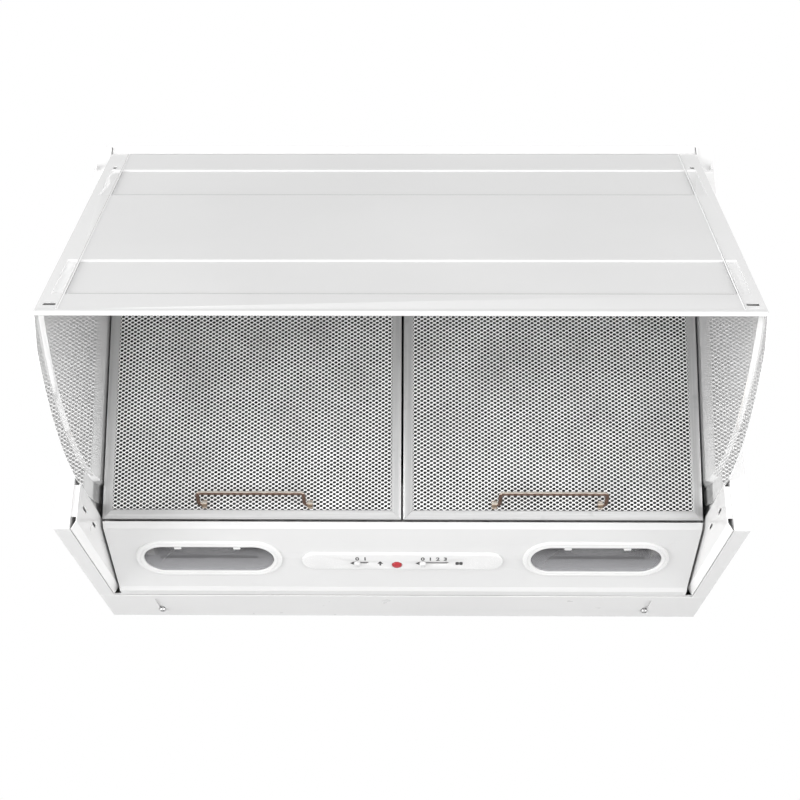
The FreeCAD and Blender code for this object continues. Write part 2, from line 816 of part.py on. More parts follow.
parts = {
    "casing_back": casing_back().cut(screws),
    "casing_top": casing_top().cut(screws),
    "casing_side_right": side_sheet,
    "casing_side_left": mirrored(side_sheet),
    "casing_screws": screws,
    "front_baffle": front_baffle(),
    "inner_side_right": inner_side(),
    "inner_side_left": mirrored(inner_side()),
    "floor_carrier": floor_carrier(),
    "service_tray": service_tray(),
    "rear_trim": rear_trim(),
    "trim_screws": trim_screws(),
    "visor_panel": visor_panel(),
    "visor_liner": visor_liner(),
    "visor_lip": visor_lip(),
    "visor_side_right": open_visor(wing),
    "visor_side_left": open_visor(mirrored(wing)),
    "hinge_bracket_right": hinge_bracket(),
    "hinge_bracket_left": mirrored(hinge_bracket()),
    "hinge_pins": hinge_pins(),
    "filter_frame_left": filter_frame(-centre),
    "filter_frame_right": filter_frame(centre),
    "filter_mesh_left": mesh_pack(-centre),
    "filter_mesh_right": mesh_pack(centre),
    "handle_pads_left": handle_pads(-centre),
    "handle_pads_right": handle_pads(centre),
    "filter_handle_left": handle(-centre),
    "filter_handle_right": handle(centre),
    "control_panel": control_panel(),
    "panel_screws": panel_screws(),
    "lamp_bezels": Part.makeCompound([lamp_bezel(-1), lamp_bezel(1)]),
    "lamp_lens_left": lamp_lens(-1),
    "lamp_lens_right": lamp_lens(1),
    "lamp_boxes": Part.makeCompound([lamp_box(-1), lamp_box(1)]),
    "lamp_holders": Part.makeCompound([lamp_holder(-1), lamp_holder(1)]),
    "lamp_bulbs": Part.makeCompound([lamp_bulb(-1), lamp_bulb(1)]),
    "control_strip": control_strip(),
    "switch_body": switch_body(),
    "light_slider": slider(light_off),
    "fan_slider": slider(fan_off),
    "power_indicator": indicator(),
    "blower_housing_right": half_right,
    "blower_housing_left": mirrored(half_right),
    "housing_screws": housing_screws(),
    "inlet_rings": inlet_rings(),
    "impeller": impeller(),
    "motor_can": motor_can(),
    "motor_stator": motor_stator(),
    "motor_rotor": motor_rotor(),
    "motor_bracket": motor_bracket(),
    "outlet_collar": outlet_collar(),
    "collar_screws": collar_screws(),
    "damper_pin": damper_pin(),
    "damper_front": damper_flap(-1, [(-44.0, -22.0), (22.0, 44.0)]),
    "damper_back": damper_flap(1, [(-20.0, 20.0)]),
    "terminal_box": terminal_box(),
    "terminal_lid": terminal_lid(),
    "cable_gland": cable_gland(),
    "capacitor": capacitor(),
    "wiring_loom": wiring_loom(),
}

for name, shape in parts.items():
    save(shape, name)
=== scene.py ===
import json
import math

import bmesh
import bpy
from mathutils import Matrix, Vector

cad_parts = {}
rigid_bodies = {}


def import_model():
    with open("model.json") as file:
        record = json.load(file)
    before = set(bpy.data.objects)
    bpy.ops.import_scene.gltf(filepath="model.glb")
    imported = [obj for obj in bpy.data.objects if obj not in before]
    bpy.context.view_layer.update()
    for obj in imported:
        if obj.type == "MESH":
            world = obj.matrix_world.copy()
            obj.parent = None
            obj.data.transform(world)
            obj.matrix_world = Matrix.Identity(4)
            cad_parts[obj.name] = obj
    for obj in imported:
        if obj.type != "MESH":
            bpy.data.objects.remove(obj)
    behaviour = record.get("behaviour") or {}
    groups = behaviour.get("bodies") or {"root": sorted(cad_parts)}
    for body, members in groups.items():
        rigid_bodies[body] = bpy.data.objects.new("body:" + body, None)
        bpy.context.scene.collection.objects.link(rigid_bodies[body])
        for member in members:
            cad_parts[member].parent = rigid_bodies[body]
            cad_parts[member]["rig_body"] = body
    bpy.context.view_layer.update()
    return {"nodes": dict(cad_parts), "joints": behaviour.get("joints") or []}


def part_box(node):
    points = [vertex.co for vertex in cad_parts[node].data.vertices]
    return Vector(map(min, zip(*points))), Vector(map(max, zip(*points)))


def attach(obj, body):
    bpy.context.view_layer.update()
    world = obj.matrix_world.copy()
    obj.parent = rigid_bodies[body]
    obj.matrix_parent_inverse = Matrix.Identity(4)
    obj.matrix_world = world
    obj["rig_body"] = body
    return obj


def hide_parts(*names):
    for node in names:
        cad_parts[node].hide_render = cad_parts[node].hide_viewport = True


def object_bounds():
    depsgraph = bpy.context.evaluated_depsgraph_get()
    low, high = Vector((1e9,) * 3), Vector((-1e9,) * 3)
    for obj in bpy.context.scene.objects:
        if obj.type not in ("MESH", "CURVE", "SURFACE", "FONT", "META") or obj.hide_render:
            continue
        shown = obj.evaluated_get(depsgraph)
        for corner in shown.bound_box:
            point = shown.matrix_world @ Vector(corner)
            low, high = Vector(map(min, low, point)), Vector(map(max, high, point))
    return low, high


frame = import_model()
nodes = frame["nodes"]
mm = 0.001
scene = bpy.context.scene
print("frame loaded:", len(nodes), "nodes")


# A socket that can be used in sums, so shader maths reads as maths.
class Wire:
    def __init__(self, finish, socket):
        self.finish = finish
        self.socket = socket

    def maths(self, operation, *values):
        return self.finish.node("ShaderNodeMath", {"operation": operation}, dict(enumerate(values)))

    def __add__(self, other):
        return self.maths("ADD", self, other)

    def __radd__(self, other):
        return self.maths("ADD", other, self)

    def __sub__(self, other):
        return self.maths("SUBTRACT", self, other)

    def __rsub__(self, other):
        return self.maths("SUBTRACT", other, self)

    def __mul__(self, other):
        return self.maths("MULTIPLY", self, other)

    def __rmul__(self, other):
        return self.maths("MULTIPLY", other, self)


class Finish:
    def __init__(self, name, kind="materials"):
        self.owner = getattr(bpy.data, kind).new(name)
        self.owner.use_nodes = True
        self.tree = self.owner.node_tree
        self.tree.nodes.clear()
        self.place = self.node("ShaderNodeTexCoord", out="Object")

    def node(self, kind, settings=None, values=None, out=0):
        made = self.tree.nodes.new(kind)
        for key, value in (settings or {}).items():
            if key == "stops":
                self.setStops(made.color_ramp, value)
            else:
                setattr(made, key, value)
        for key, value in (values or {}).items():
            socket = self.findSocket(made, key)
            if isinstance(value, Wire):
                self.tree.links.new(value.socket, socket)
            else:
                socket.default_value = value
        return Wire(self, made.outputs[out]) if made.outputs else None

    def findSocket(self, made, key):
        # A mix node repeats its socket names for each kind of data, and only the right ones are enabled.
        if isinstance(key, int):
            return made.inputs[key]
        return [s for s in made.inputs if s.name == key and s.enabled][0]

    def setStops(self, ramp, stops):
        while len(ramp.elements) < len(stops):
            ramp.elements.new(0.5)
        for element, (place, shade) in zip(ramp.elements, stops):
            element.position = place
            element.color = (shade, shade, shade, 1)

    def stretch(self, x, y, z):
        return self.node("ShaderNodeVectorMath", {"operation": "MULTIPLY"}, {0: self.place, 1: (x, y, z)})

    def along(self, vector, direction):
        # How far a vector points in a direction.
        settings = {"operation": "DOT_PRODUCT"}
        return self.node("ShaderNodeVectorMath", settings, {0: vector, 1: direction}, out="Value")

    def noise(self, scale, detail, vector=None, roughness=0.5):
        values = {"Vector": vector or self.place, "Scale": scale, "Detail": detail, "Roughness": roughness}
        return self.node("ShaderNodeTexNoise", {}, values, out="Fac")

    def cells(self, scale, out="Distance", vector=None):
        values = {"Vector": vector or self.place, "Scale": scale}
        return self.node("ShaderNodeTexVoronoi", {}, values, out=out)

    def ramp(self, fac, stops):
        return self.node("ShaderNodeValToRGB", {"stops": stops}, {"Fac": fac})

    def mix(self, a, b, fac):
        values = {"Factor": fac, "A": rgba(a), "B": rgba(b)}
        return self.node("ShaderNodeMix", {"data_type": "RGBA"}, values, out=2)

    def bump(self, height, distance):
        return self.node("ShaderNodeBump", {}, {"Height": height, "Distance": distance, "Strength": 1.0})

    def close(self, shader, kind="ShaderNodeOutputMaterial"):
        self.node(kind, {}, {"Surface": shader})
        return self.owner

    def surface(self, **values):
        named = {key.replace("_", " "): value for key, value in values.items()}
        return self.close(self.node("ShaderNodeBsdfPrincipled", {}, named))


def rgba(colour):
    return colour if isinstance(colour, Wire) else (*colour, 1)


def grey(value, warm=0.0):
    return (value * (1 + warm), value, value * (1 - warm))


def shaded(colour, factor):
    return tuple(c * factor for c in colour)


def paintedSteel(name, colour, roughness, peel, coat, metallic=0.0):
    # Stoved paint: faint orange peel, slow change of tone, handled patches a little shinier.
    f = Finish(name)
    slow = f.noise(5, 3)
    fine = f.noise(900, 1)
    smudge = f.noise(38, 4)
    tone = f.mix(shaded(colour, 0.955), colour, f.ramp(slow, [(0.35, 0.0), (0.7, 1.0)]))
    tone = f.mix(tone, shaded(colour, 0.95), f.ramp(smudge, [(0.62, 0.0), (0.8, 0.25)]))
    rough = roughness + (smudge - 0.5) * 0.4 * roughness
    bump = f.bump(fine + 0.4 * slow, peel)
    return f.surface(
        Base_Color=tone, Roughness=rough, Metallic=metallic, Normal=bump,
        Coat_Weight=coat, Coat_Roughness=0.03,
    )


def spangledSteel(name):
    # Hot-dip galvanised sheet: frosty crystals, each with its own tone.
    f = Finish(name)
    crystal = f.cells(160, out="Color")
    level = f.node("ShaderNodeSeparateColor", {}, {"Color": crystal}, out="Red")
    frost = f.noise(600, 3)
    tone = f.mix(grey(0.50), grey(0.74), level * 0.7 + frost * 0.3)
    rough = 0.30 + level * 0.22
    bump = f.bump(f.cells(160) * 0.6 + frost * 0.2, 0.00004)
    return f.surface(Base_Color=tone, Roughness=rough, Metallic=1.0, Normal=bump)


def brushedAluminium(name, along, light, dark, roughness):
    # along is the brushing direction: fine streaks run that way.
    f = Finish(name)
    across = 2600
    scale = [across if not d else 14 for d in along]
    streak = f.noise(1.0, 3, f.stretch(*scale), 0.65)
    broad = f.noise(1.0, 2, f.stretch(*[s * 0.12 for s in scale]))
    tone = f.mix(dark, light, f.ramp(streak * 0.6 + broad * 0.4, [(0.3, 0.0), (0.7, 1.0)]))
    stain = f.noise(60, 4)
    tone = f.mix(tone, shaded(dark, 0.8), f.ramp(stain, [(0.64, 0.0), (0.8, 0.5)]))
    rough = roughness + (streak - 0.5) * 0.16
    bump = f.bump(streak, 0.00002)
    return f.surface(Base_Color=tone, Roughness=rough, Metallic=0.9, Normal=bump)


def turnedMetal(name, light, dark, roughness, metallic=1.0):
    # Plated or turned small parts, with fine pitting and slightly uneven lustre.
    f = Finish(name)
    fine = f.noise(1400, 3)
    patch = f.noise(120, 4)
    tone = f.mix(dark, light, f.ramp(patch * 0.75 + fine * 0.25, [(0.35, 0.0), (0.65, 1.0)]))
    rough = roughness + (patch - 0.5) * 0.2
    return f.surface(Base_Color=tone, Roughness=rough, Metallic=metallic, Normal=f.bump(fine, 0.00002))


def platedWireShadedBelow(name, light, dark, roughness):
    # Nickel plate, light on faces that look up and dark brown on faces that look down: painted shade.
    f = Finish(name)
    lean = f.along(f.node("ShaderNodeTexCoord", out="Normal"), (0, -0.25, 0.97))
    patch = f.noise(220, 3)
    tone = f.mix(dark, light, f.ramp(lean * 0.5 + patch * 0.25 + 0.32, [(0.36, 0.0), (0.62, 1.0)]))
    rough = roughness + patch * 0.1
    return f.surface(Base_Color=tone, Roughness=rough, Metallic=0.7, Normal=f.bump(patch, 0.00002))


def mouldedPlastic(name, colour, roughness, grain=0.00003, coat=0.0):
    # Spark-eroded grain from the mould, with faint flow marks.
    f = Finish(name)
    fine = f.cells(1500)
    flow = f.noise(14, 3)
    tone = f.mix(shaded(colour, 0.92), colour, f.ramp(flow, [(0.3, 0.0), (0.65, 1.0)]))
    rough = roughness + (flow - 0.5) * 0.12 + fine * 0.05
    return f.surface(Base_Color=tone, Roughness=rough, Normal=f.bump(fine, grain), Coat_Weight=coat)


def clearCover(name, colour, alpha, roughness, lens=None):
    # Clear moulding; a lens grows more opaque towards its rear edge, which leaves its front part darker:
    # painted shade inside the lamp.
    f = Finish(name)
    haze = f.noise(45, 4)
    dust = f.ramp(f.noise(420, 2), [(0.55, 0.0), (0.8, 1.0)])
    tone = f.mix(colour, shaded(colour, 0.85), haze)
    seen = alpha + dust * 0.03 + (haze - 0.5) * 0.04
    if lens:
        low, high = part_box(lens)
        depth = f.node("ShaderNodeSeparateXYZ", {}, {"Vector": f.place}, out="Y")
        # Opacity rising towards the rear edge: painted shade, darker towards the front of the lamp.
        seen = seen + (depth - low[1]) * (0.42 / (high[1] - low[1]))
    return f.surface(Base_Color=tone, Roughness=roughness + haze * 0.1, Alpha=seen)


def woundCopper(name):
    # Enamelled wire, wound in even bands.
    f = Finish(name)
    settings = {"wave_type": "BANDS", "bands_direction": "X"}
    values = {"Vector": f.place, "Scale": 160, "Distortion": 1.5}
    turns = f.node("ShaderNodeTexWave", settings, values, out="Fac")
    tone = f.mix((0.16, 0.07, 0.03), (0.62, 0.30, 0.13), turns)
    return f.surface(Base_Color=tone, Roughness=0.3 + turns * 0.2, Metallic=0.8, Normal=f.bump(turns, 0.0003))


def meshMetal(name):
    # Stretched aluminium: bright strands, duller where grease film stays.
    f = Finish(name)
    film = f.noise(22, 4)
    fine = f.noise(700, 2)
    tone = f.mix(grey(0.80, 0.004), grey(0.96, 0.002), f.ramp(film, [(0.3, 0.0), (0.62, 1.0)]))
    tone = f.mix(tone, grey(0.62, 0.01), f.ramp(fine, [(0.6, 0.0), (0.85, 0.5)]))
    rough = 0.34 + film * 0.2
    return f.surface(Base_Color=tone, Roughness=rough, Metallic=0.35, Normal=f.bump(fine, 0.00004))


def packInPaintedShade(name):
    # Crimped layers behind the face sheet, painted near black: painted shade seen through its holes.
    f = Finish(name)
    layer = f.cells(520, vector=f.stretch(0.62, 1.0, 1.0))
    depth = f.ramp(layer, [(0.25, 0.0), (0.62, 1.0)])
    tone = f.mix(grey(0.012), grey(0.10), depth)
    rough = 0.55 + layer * 0.3
    return f.surface(Base_Color=tone, Roughness=rough, Metallic=0.5, Normal=f.bump(layer, 0.0006))


finishes = {
    "casingPaint": paintedSteel("casingPaint", grey(0.80, 0.002), 0.3, 0.00002, 0.3),
    "panelPaint": paintedSteel("panelPaint", grey(0.71, 0.001), 0.35, 0.00002, 0.2),
    "visorPaint": paintedSteel("visorPaint", grey(0.74, 0.001), 0.45, 0.00004, 0.1),
    # Seam paint is whiter than the visor's: painted highlight along the seams.
    "seamPaint": paintedSteel("seamPaint", grey(0.92, 0.001), 0.25, 0.00001, 0.3),
    # Wing paint: a whiter copy of the casing's paint, painted light on the wings' inner faces.
    "wingPaint": paintedSteel("wingPaint", grey(0.97, 0.001), 0.035, 0.0000005, 1.0, 0.3),
    # Mid grey for the lines along the visor channels: painted shadow.
    "creasePaint": paintedSteel("creasePaint", grey(0.42, 0.001), 0.45, 0.00001, 0.1),
    # Near-black paint for the lamp boxes: painted shade inside them.
    "boxPaint": paintedSteel("boxPaint", grey(0.11, 0.001), 0.45, 0.00003, 0.1),
    # Liner paint: a whiter copy of the casing's paint, painted light on the inner sides and visor liner,
    # which sit in shade.
    "linerPaint": paintedSteel("linerPaint", grey(0.9, 0.003), 0.3, 0.00002, 0.3),
    "galvanised": spangledSteel("galvanisedSheet"),
    "zinc": turnedMetal("zincPlate", grey(0.72, -0.01), grey(0.5, 0.01), 0.3),
    "acrossAluminium": brushedAluminium("aluminiumAcross", (1, 0, 0), grey(0.56), grey(0.36), 0.44),
    "upAluminium": brushedAluminium("aluminiumUp", (0, 1, 1), grey(0.58), grey(0.40), 0.36),
    "mesh": meshMetal("stretchedMesh"),
    "pack": packInPaintedShade("meshPack"),
    # Light and dark tones of the plated wire and clips; the dark one is painted shade on their lower sides.
    "nickel": platedWireShadedBelow("nickelWire", (0.86, 0.80, 0.72), (0.13, 0.08, 0.06), 0.16),
    "clip": platedWireShadedBelow("clipPlate", (0.88, 0.82, 0.74), (0.24, 0.18, 0.13), 0.2),
    "whitePlastic": mouldedPlastic("whiteMoulding", grey(0.76, 0.002), 0.24, 0.00001, 0.3),
    "cover": clearCover("clearCover", (0.56, 0.56, 0.58), 0.04, 0.06, "lamp_lens_left"),
    # Grey for the slot walls: painted shade in the slots.
    "slotGrey": mouldedPlastic("slotLining", grey(0.30), 0.4, 0.00001),
    "red": mouldedPlastic("redCap", (0.42, 0.006, 0.016), 0.12, 0.00001, 0.6),
    "bulb": clearCover("frostedBulb", (0.30, 0.30, 0.30), 0.4, 0.3),
    "holder": mouldedPlastic("bulbHolder", grey(0.16, 0.03), 0.5),
    "greyPlastic": mouldedPlastic("greyMoulding", grey(0.14, -0.01), 0.5),
    "blackPlastic": mouldedPlastic("blackMoulding", grey(0.02), 0.45),
    "blower": mouldedPlastic("blowerMoulding", grey(0.06, -0.01), 0.5, 0.00006),
    "motor": paintedSteel("motorEnamel", grey(0.03), 0.4, 0.00006, 0.2),
    "copper": woundCopper("statorWinding"),
    "can": turnedMetal("canAluminium", grey(0.80), grey(0.62), 0.35),
    "cable": mouldedPlastic("cableJacket", grey(0.10), 0.6, 0.00008),
    "ink": mouldedPlastic("printedInk", grey(0.05), 0.5, 0.00001),
}
print("finishes made:", len(finishes))


def span(points):
    # Low and high corner of a set of points.
    low = Vector([min(p[i] for p in points) for i in range(3)])
    high = Vector([max(p[i] for p in points) for i in range(3)])
    return low, high


def middle(low, high):
    # Centre across and up, and the half sizes.
    return (low.x + high.x) / 2, (low.y + high.y) / 2, (high.x - low.x) / 2, (high.y - low.y) / 2


# A flat face's own directions: across it, up it and out of it.
class Plane:
    def __init__(self, node, toward):
        # Of the node's faces that look this way, those with the most area decide.
        facing = {}
        for polygon in nodes[node].data.polygons:
            normal = polygon.normal
            if abs(normal.x) < 0.02 and normal.dot(Vector(toward)) > 0.3:
                key = (round(normal.y, 1), round(normal.z, 1))
                facing[key] = facing.get(key, Vector()) + normal * polygon.area
        self.out = max(facing.values(), key=lambda total: total.length).normalized()
        self.across = Vector((1, 0, 0))
        self.up = self.out.cross(self.across)

    def at(self, x, u, w):
        return self.across * x + self.up * u + self.out * w

    def read(self, point):
        return Vector((point.dot(self.across), point.dot(self.up), point.dot(self.out)))

    def corners(self, node, keep=None):
        points = [self.read(v.co) for v in nodes[node].data.vertices]
        return span([p for p in points if keep is None or keep(p)])


class Facing(Plane):
    # The same directions for a face that looks straight along an axis.
    def __init__(self, across, up):
        self.across = Vector(across)
        self.up = Vector(up)
        self.out = self.across.cross(self.up)


filterPlane = Plane("filter_mesh_left", (0, -1, -0.2))
panelPlane = Plane("control_panel", (0, -0.3, -1))
visorPlane = Plane("visor_panel", (0, -0.8, 0.5))
sidePlane = Facing((0, 1, 0), (0, 0, 1))
topPlane = Facing((1, 0, 0), (0, 1, 0))
underPlane = Facing((-1, 0, 0), (0, 1, 0))


def jointNamed(name):
    return [j for j in frame["joints"] if j["name"] == name][0]


def addPiece(name, mesh, body, surfaces, sharp, replaced=()):
    # sharp is the angle, in degrees, above which an edge stays hard.
    for surface in surfaces:
        mesh.materials.append(finishes[surface])
    mesh.shade_smooth()
    mesh.set_sharp_from_angle(angle=math.radians(sharp))
    piece = bpy.data.objects.new(name, mesh)
    scene.collection.objects.link(piece)
    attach(piece, body)
    if replaced:
        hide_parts(*replaced)


def finishMesh(name, bm):
    bmesh.ops.recalc_face_normals(bm, faces=bm.faces)
    mesh = bpy.data.meshes.new(name)
    bm.to_mesh(mesh)
    bm.free()
    return mesh


def roundedBox(x, u, halfX, halfU, radius, steps):
    # Outline with round corners; equal sizes and radius give a circle, halfU and radius a stadium.
    points = []
    for turn, (sx, su) in enumerate(((1, 1), (-1, 1), (-1, -1), (1, -1))):
        for step in range(steps + 1):
            angle = math.radians(90) * (turn + step / steps)
            cx = x + sx * (halfX - radius)
            cu = u + su * (halfU - radius)
            points.append((cx + radius * math.cos(angle), cu + radius * math.sin(angle)))
    return points


def softBox(x, u, halfX, halfU, radius, steps=8):
    # Gives the round-cornered outline at any inset.
    def outline(inset):
        corner = max(radius - inset, 0.05 * mm)
        return roundedBox(x, u, halfX - inset, halfU - inset, corner, steps)
    return outline


def softDisc(x, u, radius, steps=8):
    return softBox(x, u, radius, radius, radius, steps)


def crossShape(x, u, arm, half):
    # Cross recess outline, four arms.
    quarter = [(arm, -half), (arm, half), (half, half)]
    points = []
    for c, s in ((1, 0), (0, 1), (-1, 0), (0, -1)):
        points += [(x + a * c - b * s, u + a * s + b * c) for a, b in quarter]
    return points


def bridge(bm, rings, surface=0):
    # Side faces between rings of vertices that follow one another.
    for lower, upper in zip(rings, rings[1:]):
        for i in range(len(lower)):
            j = (i + 1) % len(lower)
            bm.faces.new((lower[i], lower[j], upper[j], upper[i])).material_index = surface


def addRings(bm, plane, rings, surface=0):
    # rings: (outline, height) from one end to the other. Gives the vertices of each ring.
    made = [[bm.verts.new(plane.at(x, u, w)) for x, u in outline] for outline, w in rings]
    bridge(bm, made, surface)
    return made


def fillRings(bm, rings, surface=0):
    # One flat face region inside the first ring, with the other rings as holes.
    edges = []
    for ring in rings:
        for i in range(len(ring)):
            pair = (ring[i], ring[(i + 1) % len(ring)])
            edges.append(bm.edges.get(pair) or bm.edges.new(pair))
    made = bmesh.ops.triangle_fill(bm, use_beauty=True, edges=edges)
    for face in made["geom"]:
        if isinstance(face, bmesh.types.BMFace):
            face.material_index = surface


def capEnds(bm, rings, surface=0):
    fillRings(bm, [rings[0]], surface)
    fillRings(bm, [rings[-1]], surface)


def addSolid(bm, plane, rings, surface=0):
    capEnds(bm, addRings(bm, plane, rings, surface), surface)


def addBar(bm, ends, surface=0):
    # Two outlines of vertices, joined into a bar.
    bridge(bm, ends, surface)
    capEnds(bm, ends, surface)


def filletRings(shape, low, high, radius, steps):
    # A wall from low to high whose top edge is rounded. shape(inset) gives the outline.
    rings = [(shape(0), low)]
    for step in range(steps + 1):
        angle = math.radians(90) * step / steps
        inset = radius * (1 - math.cos(angle))
        rings.append((shape(inset), high - radius + radius * math.sin(angle)))
    return rings


panHead = {
    "washerRise": 0.22, "washerRound": 0.1,                # shares of the head's rise
    "crownRise": 0.75, "crownRadius": 0.4,                 # the rounding is the smaller of these two shares
    "recess": (0.55, 0.13), "recessFloor": (0.38, 0.09),   # arm and half width, shares of the radius
    "recessDepth": 0.6,
}


def addScrew(bm, plane, x, u, seat, radius, rise, washer=0.0):
    # Pan head with a cross recess, standing on the height called seat.
    s = panHead
    if washer:
        top = seat + rise * s["washerRise"]
        addSolid(bm, plane, filletRings(softDisc(x, u, washer), seat, top, rise * s["washerRound"], 2))
    top = seat + rise
    crown = min(rise * s["crownRise"], radius * s["crownRadius"])
    rings = addRings(bm, plane, filletRings(softDisc(x, u, radius), seat, top, crown, 5))
    recess = []
    for (arm, half), w in ((s["recess"], top), (s["recessFloor"], top - rise * s["recessDepth"])):
        recess.append((crossShape(x, u, radius * arm, radius * half), w))
    pit = addRings(bm, plane, recess)
    fillRings(bm, [rings[-1], pit[0]])
    fillRings(bm, [pit[-1]])
    fillRings(bm, [rings[0]])


def addTube(bm, route, radius, sides):
    # Round bar that follows the route's points.
    rings = []
    guide = None
    for i, point in enumerate(route):
        before = route[max(i - 1, 0)]
        after = route[min(i + 1, len(route) - 1)]
        along = (after - before).normalized()
        if guide is None:
            guide = along.orthogonal().normalized()
        guide = (guide - along * guide.dot(along)).normalized()
        third = along.cross(guide)
        ring = []
        for step in range(sides):
            angle = 2 * math.pi * step / sides
            ring.append(bm.verts.new(point + (guide * math.cos(angle) + third * math.sin(angle)) * radius))
        rings.append(ring)
    bridge(bm, rings)
    bm.faces.new(rings[0])
    bm.faces.new(rings[-1])


def roundedRoute(corners, radius, steps):
    # The straight runs between corners, with each inner corner bent to a radius.
    route = [corners[0]]
    for before, corner, after in zip(corners, corners[1:], corners[2:]):
        start = corner + (before - corner).normalized() * radius
        end = corner + (after - corner).normalized() * radius
        for step in range(steps + 1):
            t = step / steps
            route.append(start * (1 - t) ** 2 + corner * 2 * t * (1 - t) + end * t ** 2)
    return route + [corners[-1]]


edgeRound = {"segments": 2, "angle": 34, "weld": 0.004 * mm}


def roundEdges(part, width):
    weld = part.modifiers.new("joinFaces", "WELD")
    weld.merge_threshold = edgeRound["weld"]
    bevel = part.modifiers.new("edgeRound", "BEVEL")
    bevel.width = width
    bevel.segments = edgeRound["segments"]
    bevel.limit_method = "ANGLE"
    bevel.angle_limit = math.radians(edgeRound["angle"])
    bevel.use_clamp_overlap = True
    bevel.harden_normals = True


# Finish, edge round in mm, and the parts that keep their CAD shape with them.
cadFinishes = (
    ("casingPaint", 0.35, ("casing_side_right", "casing_side_left")),
    ("casingPaint", 0.3, ("casing_back", "casing_top", "front_baffle", "floor_carrier", "rear_trim")),
    ("casingPaint", 0.25, ("hinge_bracket_right", "hinge_bracket_left")),
    ("linerPaint", 0.25, ("inner_side_right", "inner_side_left")),
    ("linerPaint", 0.2, ("visor_liner",)),
    ("visorPaint", 0.3, ("visor_panel", "visor_lip")),
    ("wingPaint", 0.25, ("visor_side_right", "visor_side_left")),
    ("panelPaint", 0.35, ("control_panel",)),
    ("boxPaint", 0.2, ("lamp_boxes",)),
    ("galvanised", 0.3, ("service_tray",)),
    ("galvanised", 0.4, ("motor_bracket",)),
    ("zinc", 0.4, ("hinge_pins", "motor_rotor")),
    ("zinc", 0.2, ("damper_pin",)),
    ("holder", 0.5, ("lamp_holders",)),
    ("blower", 0.4, ("blower_housing_right", "blower_housing_left")),
    ("blackPlastic", 0.4, ("switch_body",)),
    ("blackPlastic", 0.15, ("impeller",)),
    ("greyPlastic", 0.5, ("terminal_box", "terminal_lid")),
    ("greyPlastic", 0.4, ("inlet_rings", "outlet_collar")),
    ("greyPlastic", 0.2, ("damper_front", "damper_back")),
    ("motor", 0.6, ("motor_can",)),
    ("copper", 0.4, ("motor_stator",)),
    ("can", 0.8, ("capacitor",)),
    ("cable", 0.3, ("wiring_loom",)),
)
for surface, width, names in cadFinishes:
    for name in names:
        part = nodes[name]
        part.data.materials.clear()
        part.data.materials.append(finishes[surface])
        roundEdges(part, width * mm)
print("cad parts finished")


channelShadowLine = {"short": 3 * mm, "below": 0.2 * mm, "half": 0.5 * mm, "sunk": 0.4 * mm, "proud": 0.15 * mm}


def channelCreases():
    # Painted shadow lines: mid-grey beads along the lower edges of the two pressed channels.
    s = channelShadowLine
    low, high = visorPlane.corners("visor_panel")
    flat = [visorPlane.read(v.co) for v in nodes["visor_panel"].data.vertices]
    edges = sorted({round(p.y, 4) for p in flat if p.z > high.z - 0.1 * mm})
    x = (low.x + high.x) / 2
    rise = s["sunk"] + s["proud"]
    bm = bmesh.new()
    for edge in (edges[1], edges[3]):
        bead = softBox(x, edge - s["below"], (high.x - low.x) / 2 - s["short"], s["half"], s["half"], 3)
        addSolid(bm, visorPlane, filletRings(bead, high.z - s["sunk"], high.z + s["proud"], rise * 0.7, 3))
    mesh = finishMesh("channel_creases", bm)
    addPiece("channelCreases", mesh, "visor", ["creasePaint"], 40)


visorSeam = {"half": 0.9 * mm, "rise": 0.7 * mm, "out": 0.64 * mm, "sunk": 0.6 * mm}


def visorSeams():
    # Rolled seam beads over the joints between the face and its side strips, in a paint whiter than the
    # face's: painted highlight.
    s = visorSeam
    low, high = visorPlane.corners("visor_panel")
    u = (low.y + high.y) / 2
    bm = bmesh.new()
    for x in (low.x - s["out"], high.x + s["out"]):
        bead = softBox(x, u, s["half"], (high.y - low.y) / 2, s["half"], 4)
        addSolid(bm, visorPlane, filletRings(bead, high.z - s["sunk"], high.z + s["rise"], s["rise"], 4))
    mesh = finishMesh("visor_seams", bm)
    addPiece("visorSeams", mesh, "visor", ["seamPaint"], 40)


visorSeams()
channelCreases()
print("visor details made")


meshSheet = {
    "pitchAcross": 6.0 * mm, "pitchUp": 3.7 * mm,
    "holeAcross": 1.75 * mm, "holeUp": 1.2 * mm,       # half sizes of a hole
    "skew": 0.04, "strand": 0.8 * mm, "tilt": 0.2 * mm, "wave": 0.35 * mm,
    "packGap": 3.2 * mm,
}


